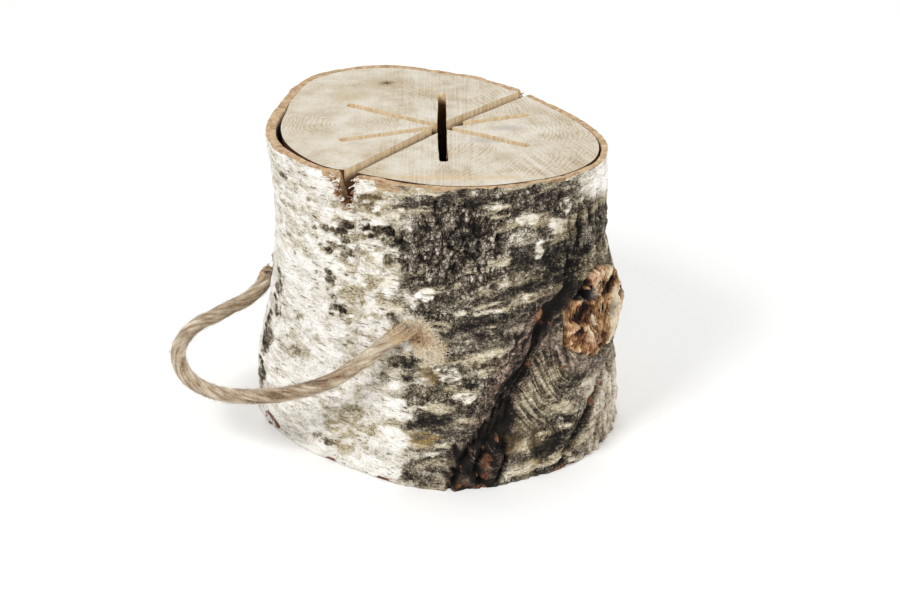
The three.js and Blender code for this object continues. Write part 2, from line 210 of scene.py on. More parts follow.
class Nodes:
    """The nodes of one material, each made by one call that gives back its output."""

    def __init__(self, name):
        self.material = bpy.data.materials.new(name)
        self.material.use_nodes = True
        self.tree = self.material.node_tree
        self.shader = self.tree.nodes["Principled BSDF"]

    def put(self, socket, value):
        """Links an output to a socket, or sets the socket to a plain value."""
        if isinstance(value, bpy.types.NodeSocket):
            self.tree.links.new(value, socket)
        else:
            socket.default_value = value

    def node(self, kind, inputs, output=0, **settings):
        """A node of a kind, with its inputs filled by name or number."""
        made = self.tree.nodes.new("ShaderNode" + kind)
        for key, value in settings.items():
            setattr(made, key, value)
        for key, value in inputs.items():
            self.put(made.inputs[key], value)
        return made.outputs[output]

    def mark(self, name):
        """A number that the mesh carries at its points."""
        return self.node("Attribute", {}, "Fac", attribute_name=name)

    def vector(self, operation, *values, output=0):
        """Arithmetic on vectors."""
        return self.node("VectorMath", dict(enumerate(values)), output, operation=operation)

    def place(self, stretch=(1, 1, 1)):
        """The point's place in the frame, in millimetres, divided by a size along each axis."""
        place = self.node("TexCoord", {}, "Object")
        return self.vector("MULTIPLY", place, [1 / MM / s for s in stretch])

    def along(self, axis):
        """How far along an axis the point is, in millimetres."""
        return self.node("SeparateXYZ", {0: self.place()}, axis)

    def noise_at(self, place, detail, roughness=0.5, warp=0.0):
        """Noise from 0 to 1 at a place that is already divided by the size of its lumps."""
        inputs = {"Vector": place, "Scale": 1.0, "Detail": detail}
        return self.node("TexNoise", {**inputs, "Roughness": roughness, "Distortion": warp}, "Fac")

    def noise(self, size, detail=3.0, roughness=0.55, warp=0.0):
        """Noise from 0 to 1 with lumps of a size in millimetres along each axis."""
        return self.noise_at(self.place(size), detail, roughness, warp)

    def streaks(self, distance, width, detail, warp):
        """Noise from 0 to 1 in long streaks that run where a distance stays the same."""
        rise = self.math("DIVIDE", self.along("Z"), STREAK_LENGTH)
        place = self.node("CombineXYZ", {0: self.math("DIVIDE", distance, width), 1: rise, 2: 0.0})
        return self.noise_at(place, detail, warp=warp)

    def cells(self, size, warp):
        """A net of warped cells of a size in millimetres: the distance to an edge, and a tone per cell."""
        place = self.place(size)
        shift = self.node("TexNoise", {"Vector": place, "Scale": 0.6, "Detail": 2.0}, "Color")
        moved = self.vector("ADD", place, self.vector("MULTIPLY", shift, (warp, warp, warp)))
        inputs = {"Vector": moved, "Scale": 1.0, "Randomness": 1.0}
        own = self.node("TexVoronoi", inputs, "Color", feature="F1")
        return self.node("TexVoronoi", inputs, "Distance", feature="DISTANCE_TO_EDGE"), own

    def turned(self, place, degrees):
        """A place turned about the upright axis."""
        inputs = {"Vector": place, "Angle": math.radians(degrees)}
        return self.node("VectorRotate", inputs, rotation_type="Z_AXIS")

    def flat_distance(self, place, centre, sizes=(1, 1)):
        """How far a place is from a centre, seen from above and divided by a size each way."""
        off = self.vector("SUBTRACT", place, (*centre, 0))
        off = self.vector("MULTIPLY", off, (1 / sizes[0], 1 / sizes[1], 0))
        return self.vector("LENGTH", off, output="Value")

    def flat_spot(self, place, centre, sizes):
        """A soft round patch, seen from above, that fades out at its sizes."""
        return self.span(self.flat_distance(place, centre, sizes), 1.0, 0.2)

    def waves(self, distance, length):
        """Thin lines at even steps of a distance: 1 on a line and 0 between."""
        wave = self.math("SINE", self.math("MULTIPLY", distance, 2 * math.pi / length))
        return self.math("POWER", self.math("MULTIPLY_ADD", wave, 0.5, 0.5), 3.0)

    def math(self, operation, *values):
        """Arithmetic on numbers."""
        return self.node("Math", dict(enumerate(values)), operation=operation)

    def plus(self, base, *added):
        """A base with other values added, each as (value, share)."""
        for value, share in added:
            base = self.math("MULTIPLY_ADD", value, share, base)
        return base

    def span(self, value, low, high, to_low=0.0, to_high=1.0):
        """A value's place between two limits, smoothly clamped."""
        inputs = {0: value, 1: low, 2: high, 3: to_low, 4: to_high}
        return self.node("MapRange", inputs, interpolation_type="SMOOTHSTEP")

    def blend(self, share, first, second):
        """Two numbers mixed by a share from 0 to 1."""
        return self.node("Mix", {0: share, 2: first, 3: second})

    def mix(self, share, first, second):
        """Two colours mixed by a share from 0 to 1."""
        return self.node("Mix", {0: share, 6: first, 7: second}, 2, data_type="RGBA")

    def ramp(self, value, stops):
        """A colour for each value, from stops of a place and a colour as a screen shows it."""
        made = self.tree.nodes.new("ShaderNodeValToRGB")
        while len(made.color_ramp.elements) < len(stops):
            made.color_ramp.elements.new(1.0)
        for element, (place, *color) in zip(made.color_ramp.elements, stops):
            element.position = place
            element.color = srgb(*color)
        self.put(made.inputs[0], value)
        return made.outputs[0]

    def finish(self, color, roughness, height, relief, **constants):
        """Sets the shader's colour, roughness and bump, and gives back the material."""
        self.put(self.shader.inputs["Base Color"], color)
        self.put(self.shader.inputs["Roughness"], roughness)
        bump = {"Height": height, "Distance": relief * MM, "Strength": 1.0}
        self.put(self.shader.inputs["Normal"], self.node("Bump", bump))
        for name, value in constants.items():
            self.shader.inputs[name.replace("_", " ")].default_value = value
        return self.material


# Camera, floor and light


def add_camera():
    data = bpy.data.cameras.new("camera")
    data.lens = CAMERA_LENS
    camera = bpy.data.objects.new("camera", data)
    camera.location = CAMERA_PLACE
    camera.rotation_euler = (math.radians(CAMERA_TILT), 0, math.radians(CAMERA_PAN))
    bpy.context.scene.collection.objects.link(camera)
    bpy.context.scene.camera = camera


def add_floor():
    nodes = Nodes("pale_floor")
    speck = nodes.noise((9, 9, 9))
    color = nodes.mix(speck, srgb(249, 249, 248), srgb(252, 252, 251))
    nodes.finish(color, 0.9, speck, 0.01)
    mesh = bpy.data.meshes.new("floor")
    corners = [(-1, -1), (1, -1), (1, 1), (-1, 1)]
    mesh.from_pydata([(FLOOR_REACH * x, FLOOR_REACH * y, 0) for x, y in corners], [], [(0, 1, 2, 3)])
    mesh.materials.append(nodes.material)
    floor = bpy.data.objects.new("floor", mesh)
    bpy.context.scene.collection.objects.link(floor)


def add_light(name, place, size, power):
    """A square soft light that faces the middle of the log."""
    data = bpy.data.lights.new(name, "AREA")
    data.size = size
    data.energy = power
    light = bpy.data.objects.new(name, data)
    light.location = place
    towards = Vector((0, 0, HEIGHT / 2 * MM)) - Vector(place)
    light.rotation_euler = towards.to_track_quat("-Z", "Y").to_euler()
    bpy.context.scene.collection.objects.link(light)


def add_studio():
    add_floor()
    for light in LIGHTS:
        add_light(*light)
    world = bpy.data.worlds.new("studio")
    world.use_nodes = True
    background = world.node_tree.nodes["Background"]
    background.inputs["Color"].default_value = (1, 1, 1, 1)
    background.inputs["Strength"].default_value = SURROUND
    bpy.context.scene.world = world
    bpy.context.scene.view_settings.view_transform = "Standard"


# Rope handle


def smooth_path(route, count):
    """Points evenly spread along a smooth curve through a route."""
    points = np.array(route, float)
    before = points[:1] * 2 - points[1:2]
    after = points[-1:] * 2 - points[-2:-1]
    ahead = np.diff(points, axis=0, prepend=before, append=after)
    lean = ahead[1:] + ahead[:-1]
    lean /= np.linalg.norm(lean, axis=1)[:, None]
    share = np.linspace(0, 1, CURVE_STEPS, endpoint=False)[:, None]
    fine = []
    for a, b, out, into in zip(points[:-1], points[1:], lean[:-1], lean[1:]):
        reach = np.linalg.norm(b - a) / 3
        c, d = a + out * reach, b - into * reach
        back = 1 - share
        fine.append(back**3 * a + 3 * back**2 * share * c + 3 * back * share**2 * d + share**3 * b)
    fine = np.concatenate(fine + [points[-1:]])
    along = np.concatenate([[0], np.cumsum(np.linalg.norm(np.diff(fine, axis=0), axis=1))])
    even = np.linspace(0, along[-1], count)
    return np.stack([np.interp(even, along, fine[:, k]) for k in range(3)], axis=1), along[-1]


def carried_frames(path):
    """At each point of a path, its direction and two directions across it that turn no more than needed."""
    ahead = np.gradient(path, axis=0)
    ahead /= np.linalg.norm(ahead, axis=1)[:, None]
    side = np.cross(ahead[0], UP)
    sides = []
    for direction in ahead:
        side = side - direction * (side @ direction)
        side /= np.linalg.norm(side)
        sides.append(side)
    sides = np.array(sides)
    return ahead, sides, np.cross(ahead, sides)


def tube(path, radii, sides, flat=1.0):
    """A closed tube along a path, with one radius per ring or one per ring and side, flattened by a share."""
    _, across, over = carried_frames(path)
    over = over * flat
    turn = np.linspace(0, 2 * math.pi, sides, endpoint=False)
    radii = np.broadcast_to(np.reshape(radii, (len(path), -1)), (len(path), sides))
    ring = across[:, None] * np.cos(turn)[None, :, None] + over[:, None] * np.sin(turn)[None, :, None]
    points = (path[:, None] + ring * radii[:, :, None]).reshape(-1, 3)
    faces = grid_faces(len(path), sides)
    faces.append(tuple(range(sides))[::-1])
    faces.append(tuple(range(len(points) - sides, len(points))))
    return points, faces


class Strands:
    """Many thin tapered tubes gathered into one piece."""

    def __init__(self):
        self.points, self.faces, self.tones = [], [], []

    def add(self, path, root, tip, tone, sides=3, flat=1.0):
        points, faces = tube(np.asarray(path, float), np.linspace(root, tip, len(path)), sides, flat)
        first = len(self.tones)
        self.points.append(points)
        self.faces += [tuple(first + i for i in face) for face in faces]
        self.tones += [tone] * len(points)

    def piece(self, name, material, slot):
        return add_piece(name, np.concatenate(self.points), self.faces, material, {"tone": self.tones})


# Colours of the rope and of its loose fibres, as (tone, red, green, blue)
ROPE_COLORS = [
    (0.0, 80, 60, 42), (0.3, 142, 118, 92), (0.55, 179, 162, 138), (0.8, 210, 197, 175),
    (1.0, 244, 232, 210),
]
FRAY_COLORS = [
    (0.0, 84, 54, 30), (0.3, 156, 110, 68), (0.55, 204, 168, 124), (0.8, 232, 208, 170),
    (1.0, 252, 240, 216),
]


def jute_material(name, colors):
    """Dull golden-grey plant fibre, with painted shade in the grooves between the strands and fine pale
    hairs.
    """
    nodes = Nodes(name)
    fibre = nodes.noise((1.6, 1.6, 1.6), 5.0, 0.7, 1.5)
    drift = nodes.noise((14, 14, 14), 2.0)
    tone = nodes.math("SUBTRACT", nodes.plus(nodes.mark("tone"), (fibre, 0.7), (drift, 0.3)), 0.5)
    color = nodes.ramp(tone, colors)
    return nodes.finish(color, 0.92, fibre, 0.35, Sheen_Weight=0.25, Specular_IOR_Level=0.2)


def add_rope(material):
    """The handle: three soft strands laid together, pinched where the staples hold them, with painted shade
    in the grooves and the pinches.
    """
    path, length = smooth_path(ROPE_ROUTE, ROPE_RINGS)
    along = np.linspace(0, length, ROPE_RINGS)[:, None]
    turn = np.linspace(0, 2 * math.pi, ROPE_SIDES, endpoint=False)[None, :]
    lay = turn - 2 * math.pi * along / ROPE_PITCH
    lobe = np.abs(np.cos(1.5 * lay)) ** 0.8
    around = np.stack(np.broadcast_arrays(3 * np.cos(lay), 3 * np.sin(lay), along), axis=-1).reshape(-1, 3)
    lumps = rough_noise(around, (3, 3, 11), 3, 51).reshape(lobe.shape)
    streaks = rough_noise(around, (0.8, 0.8, 9), 3, 52).reshape(lobe.shape)
    held = 1 - ease(np.minimum(along, length - along), 3, 14)
    half = ROPE_DIAMETER / 2
    radii = half * (0.90 + 0.07 * lobe - 0.1 * held) + 0.34 * lumps + 0.18 * streaks
    points, faces = tube(path, radii, ROPE_SIDES)
    # Painted shade: the tone is darker in the grooves between the strands (lobe) and where the staples pinch
    # the rope (held).
    tone = 0.38 + 0.12 * lobe + 0.22 * lumps + 0.36 * streaks - 0.24 * held
    rope = add_piece("rope", points, faces, material, {"tone": tone})
    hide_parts("rope_handle")
    return rope, path, length


def add_fuzz(path, material):
    """Loose fibres that stand off the rope."""
    draw = random.Random(5)
    ahead, across, over = carried_frames(path)
    fuzz = Strands()
    for _ in range(ROPE_FIBRES):
        ring = draw.randrange(4, len(path) - 4)
        turn = draw.uniform(0, 2 * math.pi)
        outward = across[ring] * math.cos(turn) + over[ring] * math.sin(turn)
        drift = ahead[ring] * draw.choice((-1, 1)) * draw.uniform(0.4, 1.4)
        curl = np.cross(outward, drift) * draw.uniform(-1, 1)
        reach = draw.uniform(1.2, 4.6) * draw.uniform(0.4, 1)
        start = path[ring] + outward * ROPE_DIAMETER / 2 * 0.9
        line = []
        for s in (0, 0.4, 0.7, 1):
            line.append(start + reach * (s * drift + (s - 0.55 * s * s) * outward + s * s * curl))
        fuzz.add(line, 0.08, 0.04, draw.uniform(0.45, 0.95))
    return fuzz.piece("rope_fuzz", material, "rope")


# Bark: the grid of its sleeve, and the notches as (angle, depth, half width below, half width above)

FRONT_COLUMNS = 400
BACK_COLUMNS = 160
BARK_COLUMNS = FRONT_COLUMNS + BACK_COLUMNS
BARK_ROWS = 150
RIM_SHARES = (0.1, 0.3, 0.6, 0.88)
INNER_ROWS = 9
FILL_STEPS = 1200  # to spread a radius over an opening in the solids
STREAK_LENGTH = 22.0  # of folds and strands
NOTCHES = [(-125.2, 21.0, 2.4, 9.5), (46.4, 15.0, 1.8, 6.5)]

# Where its colour and relief change, as (angle, z, half width, half height, change)
# Grey and black patches on the white side, then the blackest places on the dark side; two are painted shadow:
# (-45, 110) in the gap between the bark and the knot, and (-102, 82) under the front fray and rope
DARK_AND_SHADOW_SPOTS = [
    (-133, 158, 13, 4, 0.34), (-125, 164, 15, 4, 0.40), (-115, 165, 11, 6, 0.36), (-108, 162, 8, 8, 0.38),
    (-135, 147, 7, 5, 0.32), (-127, 150, 10, 4, 0.30), (-125, 144, 8, 2, 0.26), (-135, 127, 9, 7, 0.38),
    (-133, 113, 6, 4, 0.34), (-131, 104, 8, 5, 0.40), (-158, 183, 7, 3, 0.27), (-141, 175, 8, 2, 0.24),
    (-160, 78, 9, 4, 0.36), (-150, 88, 9, 4, 0.17), (-134, 14, 9, 6, 0.38), (-109, 149, 8, 6, 0.26),
    (-107, 108, 6, 4, 0.34), (-109, 68, 5, 3, 0.36), (-172, 33, 9, 15, 0.46), (-171, 60, 9, 22, 0.52),
    (-167, 90, 8, 16, 0.46), (-155, 64, 13, 6, 0.14), (-117, 186, 10, 4, 0.20), (-116, 20, 8, 6, 0.20),
    (-103, 155, 5, 11, 0.28), (-84, 188, 26, 4, 0.14), (-76, 176, 16, 6, 0.10), (-50, 150, 14, 8, 0.24),
    (-54, 130, 24, 11, 0.24), (-37, 152, 16, 28, 0.26), (-92, 117, 14, 3, 0.18), (-80, 110, 22, 5, 0.14),
    (-84, 88, 13, 3, 0.20), (-74, 84, 12, 4, 0.20), (-102, 82, 10, 6, 0.40), (-95, 64, 14, 5, 0.20),
    (-94, 46, 14, 6, 0.24), (-82, 54, 10, 4, 0.14), (-98, 12, 15, 10, 0.10), (-54, 21, 16, 12, 0.32),
    (-45, 110, 9, 16, 0.40), (-5, 135, 6, 16, 0.45), (-12, 168, 5, 14, 0.22), (-33, 38, 12, 16, 0.12),
    (28, 120, 20, 14, 0.40), (52, 60, 26, 9, 0.42), (70, 150, 18, 8, 0.36), (96, 96, 24, 16, 0.46),
    (120, 40, 20, 10, 0.40), (128, 150, 16, 10, 0.36), (150, 112, 10, 8, 0.34), (84, 18, 30, 14, 0.40),
    (10, 70, 18, 12, 0.30), (165, 170, 12, 5, 0.28), (108, 178, 16, 5, 0.30), (40, 170, 10, 6, 0.26),
]
# White papery blobs left on the dark side
WHITE_SPOTS = [
    (-107, 131, 9, 6, -0.30), (-94, 129, 7, 5, -0.62), (-87, 77, 9, 5, -0.46), (-82, 62, 7, 4, -0.30),
    (-104, 50, 12, 8, -0.26), (-105, 33, 11, 7, -0.28), (-50, 169, 7, 6, -0.60), (-56, 154, 5, 8, -0.40),
    (-60, 177, 6, 4, -0.40), (-71, 188, 9, 4, -0.38), (-47, 181, 3, 5, -0.46), (-110, 97, 10, 8, -0.20),
    (-128, 131, 6, 7, -0.14), (-98, 94, 9, 6, -0.34), (-30, 186, 14, 11, -0.30), (-126, 172, 7, 3, -0.20),
    (-62, 163, 13, 5, -0.24), (-66, 136, 12, 4, -0.22), (-78, 118, 20, 2.5, -0.22),
    (-85, 94, 9, 4, -0.16),
]
# Yellow growth, pale olive lichen, and bare red-brown inner bark
OCHRE_SPOTS = [
    (-95, 33, 9, 6, 0.9), (-62, 8, 7, 8, 0.7), (-93, 76, 7, 6, 0.6), (-114, 187, 14, 7, 0.35),
    (-124, 26, 14, 10, 0.35), (-63, 28, 14, 10, 0.3), (-66, 137, 10, 4, 0.3),
]
LICHEN_SPOTS = [
    (-120, 140, 30, 50, 0.9), (-124, 27, 26, 18, 0.9), (-116, 70, 24, 30, 0.6), (-152, 165, 34, 34, 0.5),
    (-112, 186, 18, 10, 0.6), (-150, 75, 26, 16, 0.5),
]
BROWN_SPOTS = [
    (-56, 109, 4, 8, 0.8), (-84, 6, 5, 5, 0.55), (-75, 16, 3, 9, 0.5), (-79, 2, 9, 3, 0.55),
    (-71.5, 34, 3, 7, 0.5), (-91.5, 160, 6, 9, 0.34), (-60, 93, 3, 6, 0.5), (-48, 70, 4, 3, 0.6),
    (-29, 48, 4, 6, 0.7), (-35, 38, 3, 5, 0.6), (-163, 4, 13, 5, 0.9), (-53, 98, 4, 6, 0.5),
]
SCAB = [(-87, 163, 38, 33, 1.0)]  # where the crust is broken into plates
RIDGE = (-36, 154, 22, 24)  # a ribbed swelling above the knot
FOOT_BUNDLE = [(-79, 14, 16, 26, 1.0)]  # where the seam's strands spread at the foot
PEELED_SPOTS = [(-112, 199, 15, 5, 1.0), (-131, 197, 6, 4, 1.0)]
FISSURE = [
    (-43, 136), (-47, 124), (-52, 112), (-57, 98), (-60, 86), (-64, 73), (-68, 63), (-71, 50), (-72, 38),
    (-71, 29),
]
FOOT_SPLITS = [
    [(-73, 44), (-77, 28), (-78, 14), (-77, 0)], [(-75, 42), (-82, 24), (-85, 12), (-87, 0)],
    [(-70, 33), (-69, 18), (-72, 4)],
]
SIDE_STREAK = [(-24, 60), (-30, 48), (-35, 36), (-42, 22), (-49, 6)]
UPRIGHT_CRACKS = [
    [(-91.5, 190), (-91, 184), (-89.5, 176)], [(-103.5, 166), (-103, 153)], [(-96, 154), (-91, 143)],
    [(-78, 178), (-77.5, 168)], [(-76.5, 162), (-76, 147)], [(-117, 168), (-116, 159)],
    [(-108, 169), (-106, 163)], [(-98, 170), (-97, 158)], [(-84, 152), (-85, 144)],
    [(-70, 168), (-69, 160)], [(-48.5, 188), (-47.5, 178)], [(-88, 170), (-86, 160)],
    [(-73, 140), (-71, 132)], [(-81, 166), (-80, 156)],
]


def cad_radius(node, angles, heights, outer):
    """How far a node's outer or inner face is from the trunk's axis, or nan where it is open."""
    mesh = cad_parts[node].data
    tree = BVHTree.FromPolygons([v.co for v in mesh.vertices], [p.vertices for p in mesh.polygons])
    far = 200.0
    found = np.full((len(heights), len(angles)), np.nan)
    for column, angle in enumerate(np.radians(angles)):
        away = Vector((math.cos(angle), math.sin(angle), 0))
        for row, z in enumerate(heights):
            middle = Vector(AXIS) + Vector((0, 0, z))
            start = middle + away * far if outer else middle
            reach = tree.ray_cast(start * MM, -away if outer else away, far * MM)[3]
            if reach is not None:
                found[row, column] = far - reach / MM if outer else reach / MM
    return found


def neighbours(grid):
    """The mean of the four cells beside each cell of a grid that is closed along its rows."""
    up = np.vstack([grid[1:], grid[-1:]])
    down = np.vstack([grid[:1], grid[:-1]])
    return (up + down + np.roll(grid, 1, 1) + np.roll(grid, -1, 1)) / 4


def closed_over(grid, smoothings):
    """A grid with its openings filled from what is around them, and smoothed so many times."""
    opening = np.isnan(grid)
    grid = np.where(opening, np.nanmean(grid), grid)
    for _ in range(FILL_STEPS):
        grid = np.where(opening, neighbours(grid), grid)
    for _ in range(smoothings):
        grid = neighbours(grid)
    return grid


def spots(angle, z, places, edge):
    """The sum of patches with ragged edges."""
    total = np.zeros(len(angle))
    for at, high, wide, tall, change in places:
        off = np.hypot(apart(angle, at) * ARC / wide, (z - high) / tall)
        total += change * (1 - ease(off + 0.6 * edge, 0.7, 1.15))
    return total


def from_line(angle, z, line):
    """How far points are from a line of (angle, z) places on the bark, and which side they are on."""
    nearest = np.full(len(angle), 1e3)
    side = np.zeros(len(angle))
    for (a, low), (b, high) in zip(line, line[1:]):
        run = np.array(((b - a) * ARC, high - low))
        x, y = apart(angle, a) * ARC, z - low
        share = np.clip((x * run[0] + y * run[1]) / (run @ run), 0, 1)
        off = np.hypot(x - share * run[0], y - share * run[1])
        side = np.where(off < nearest, np.sign(run[0] * y - run[1] * x), side)
        nearest = np.minimum(nearest, off)
    return nearest, side


def rim_height(angles):
    """The top edge of the bark: chipped a little all round, and torn where the saw went through."""
    line = on_trunk(ROUND, angles, np.zeros(len(angles)))
    top = HEIGHT - 0.2 - 0.7 * np.clip(rough_noise(line, 12, 4, 21) + 0.2, 0, 1.5)
    for at, depth, floor, mouth in NOTCHES:
        off = np.abs(apart(angles, at)) * ARC + 1.3 * noise(line, 3, 22) + 0.7 * noise(line, 1.3, 23)
        top -= depth * np.clip((mouth - off) / (mouth - floor), 0, 1)
    return top


def seam_looks(angle, z, points):
    """The torn seam below the knot: its gap, bundle of strands, pale flank and folds, and the way across."""
    off, side = from_line(angle, z, FISSURE)
    across = off * side + 3.2 * noise(points, (7, 7, 9), 48) + 1.8 * noise(points, (3, 3, 5), 49)
    unrolled = np.stack([off * side + 1.5 * noise(points, (6, 6, 12), 51), z, 0 * z], axis=1)
    strands = 1 - 2.4 * np.abs(noise(unrolled, (4.5, 22, 1), 56) + 0.35 * noise(unrolled, (2.2, 9, 1), 57))
    half = 3.6 + 3.2 * noise(points, (40, 40, 9), 50) + 1.6 * noise(points, 3, 54)
    gap = 1 - ease(np.abs(across), half - 1.6, half + 1.8)
    gap = gap * (1 - 0.7 * ease(strands, 0.45, 0.85)) * (1 - 0.25 * ease(z, 88, 116))
    for line in FOOT_SPLITS:
        narrow, _ = from_line(angle, z, line)
        narrow = narrow + 1.8 * noise(points, 4, 32) + 1.2 * noise(points, 1.8, 33)
        gap = np.maximum(gap, 1 - ease(narrow, 0.6, 2.8))
    low = 1 - ease(z, 116, 134)
    bundle = np.exp(-((across / 10) ** 2)) * low
    bundle = np.maximum(bundle, spots(angle, z, FOOT_BUNDLE, 0.3 * noise(points, 5, 52)))
    flank = np.exp(-(((across + 10) / 4.5) ** 2)) * (1 - ease(z, 104, 120))
    folded = ease(across, 6, 11) * (1 - ease(across, 28, 42)) * ease(z, 26, 44) * (1 - ease(z, 80, 96))
    round_folds = np.hypot(apart(angle, KNOT_ANGLE) * ARC, z - FOLD_HEIGHT)
    wandering = np.stack([round_folds + 1.5 * noise(points, 9, 47), z, 0 * z], axis=1)
    crest = np.clip(1 - 2.6 * np.abs(noise(wandering, (4.2, 26, 1), 58)), -0.5, 1)
    return gap, bundle, strands, flank * (1 - gap), folded, crest, across


def knot_reach(turn):
    """The knot's reach in each direction, as a share of its radius: uneven, and longest to the left."""
    low_right = np.exp(-((apart(np.degrees(turn), -48) / 34) ** 2))
    left = np.exp(-((apart(np.degrees(turn), 184) / 42) ** 2))
    return 1 + 0.05 * np.cos(3 * turn + 0.6) + 0.03 * np.cos(7 * turn) + 0.16 * low_right + 0.19 * left


def knot_distance(angle, z):
    """How far a place on the bark is from the middle of the knot, as a share of the knot's reach there."""
    right = apart(angle, KNOT_ANGLE) * ARC + KNOT_SHIFT[0]
    up = (z - KNOT_HEIGHT - KNOT_SHIFT[1]) / KNOT_TALL
    return np.hypot(right, up) / (KNOT_RADIUS * knot_reach(np.arctan2(up, right)))


class Grain:
    """Noises that the looks of the bark share, at points given by their angle and height."""

    def __init__(self, angle, z):
        self.points = on_trunk(ROUND, angle, z)
        self.slanted = self.points - np.outer(0.16 * self.points[:, 0], UP)
        self.edge = rough_noise(self.slanted, (10, 10, 5), 4, 31)
        self.mottle = rough_noise(self.slanted, (7, 7, 3), 3, 30)
        self.bands = rough_noise(self.slanted, (30, 30, 6), 3, 46)
        self.ragged = noise(self.points, 4, 32) + 0.6 * noise(self.points, 1.8, 33)


def cover_looks(angle, z, grain):
    """Which cover lies where, as a tone: white paper, dark crust, and lichen in bands on the crust."""
    edge, mottle, bands = grain.edge, grain.mottle, grain.bands
    right_end = -41 + 49 * (1 - ease(z, 160, 182))
    dark = ease(angle + 6 * edge + 9 * bands + 4 * ease(z, 100, 130), -110, -93)
    dark = dark * (1 - ease(angle + 8 * edge, right_end - 7, right_end + 7))
    far_side = ease(apart(angle, 80), -104, -80) * (1 - ease(apart(angle, 80), 85, 108))
    scab = spots(angle, z, SCAB, edge)
    lichen = dark * (1 - 0.7 * scab) * ease(bands + 0.5 * mottle, -0.15, 0.5)
    aged = spots(angle, z, LICHEN_SPOTS, edge) * (1 - dark) * ease(mottle + 0.4 * bands, -0.3, 0.2)
    tone = 0.21 + 0.46 * dark - 0.30 * lichen + 0.04 * far_side + 0.21 * aged
    stipple = 0.75 + 0.7 * mottle + 0.6 * noise(grain.points, (2.6, 2.6, 1.8), 55)
    tone += spots(angle, z, DARK_AND_SHADOW_SPOTS, edge) * np.clip(stipple, 0.2, 1.0) * (0.9 + 0.05 * dark)
    tone += spots(angle, z, WHITE_SPOTS, edge) * np.clip(stipple + 0.1, 0.2, 1.2)
    return np.clip(tone, 0.05, 0.95), scab, lichen + aged


def crust_looks(angle, z, grain, tone, scab):
    """Broken plates on the crust with painted highlights on its small raised flecks, thin peeling layers on
    the paper, and upright cracks in both.
    """
    points, mottle = grain.points, grain.mottle
    rough = ease(tone, 0.36, 0.62)
    warped = points + 3 * np.stack([noise(points, 7, k) for k in (34, 35, 36)], axis=1)
    gap, own = plates(warped, (6, 6, 9), 37)
    broken = np.clip(0.35 + scab + 0.4 * noise(points, (22, 22, 16), 29), 0, 1)
    crack = rough * broken * (1 - ease(gap, 0.03, 0.2))
    lumps = 1.5 * rough_noise(points, (5, 5, 4), 4, 38)
    relief = rough * (1.3 * (own - 0.5) * broken + lumps) - 1.5 * crack
    # Small raised flecks on the crust are painted lighter: painted highlights on its bumps.
    highlight_flecks = ease(noise(points, (2.4, 2.4, 3.2), 53), 0.35, 0.6) * rough * (0.4 + 0.6 * scab)
    paper = ease(noise(grain.slanted, (15, 15, 5), 39) + 0.3 * mottle, 0.1, 0.22)
    relief += 0.5 * highlight_flecks + (1 - rough) * (0.45 * paper + 0.35 * mottle)
    for line in UPRIGHT_CRACKS:
        off, _ = from_line(angle, z, line)
        split = 1 - ease(off + 1.3 * grain.ragged, 0.6, 2.4)
        relief -= 2 * split
        crack = np.maximum(crack, split)
    tone = tone + scab * (0.30 * (own - 0.5) - 0.05) - 0.22 * highlight_flecks
    tone += 0.10 * grain.edge * (0.5 + rough) + 0.10 * mottle - 0.12 * paper * (1 - rough)
    return relief, crack, rough * (broken + 0.3), tone


def ribbed_looks(angle, z, grain):
    """The ribbed swelling above the knot, and fine upright ribs on the right of the foot."""
    at, high, wide, tall = RIDGE
    ridge = np.exp(-((apart(angle, at) * ARC / wide) ** 2) - ((z - high) / tall) ** 2)
    ribs = 0.7 - 2.4 * np.abs(rough_noise(grain.points, (5, 5, 24), 3, 41))
    right_foot = ease(angle, -46, -34) * (1 - ease(angle, 8, 30)) * (1 - ease(z, 44, 74))
    foot_ribs = rough_noise(grain.slanted, (3.5, 3.5, 16), 3, 45) * right_foot
    return ridge, ribs, right_foot, foot_ribs


def bare_looks(angle, z, grain):
    """Bare inner bark: chips along the rim and the foot, and peeled places by the front notch."""
    chipped = ease(noise(grain.points, (14, 14, 6), 42) - ease(HEIGHT - z, 0, 3), 0.15, 0.35)
    foot_chips = ease(noise(grain.points, (12, 12, 6), 43) - ease(z, 0, 6), 0.1, 0.3)
    return chipped, foot_chips, spots(angle, z, PEELED_SPOTS, grain.edge)


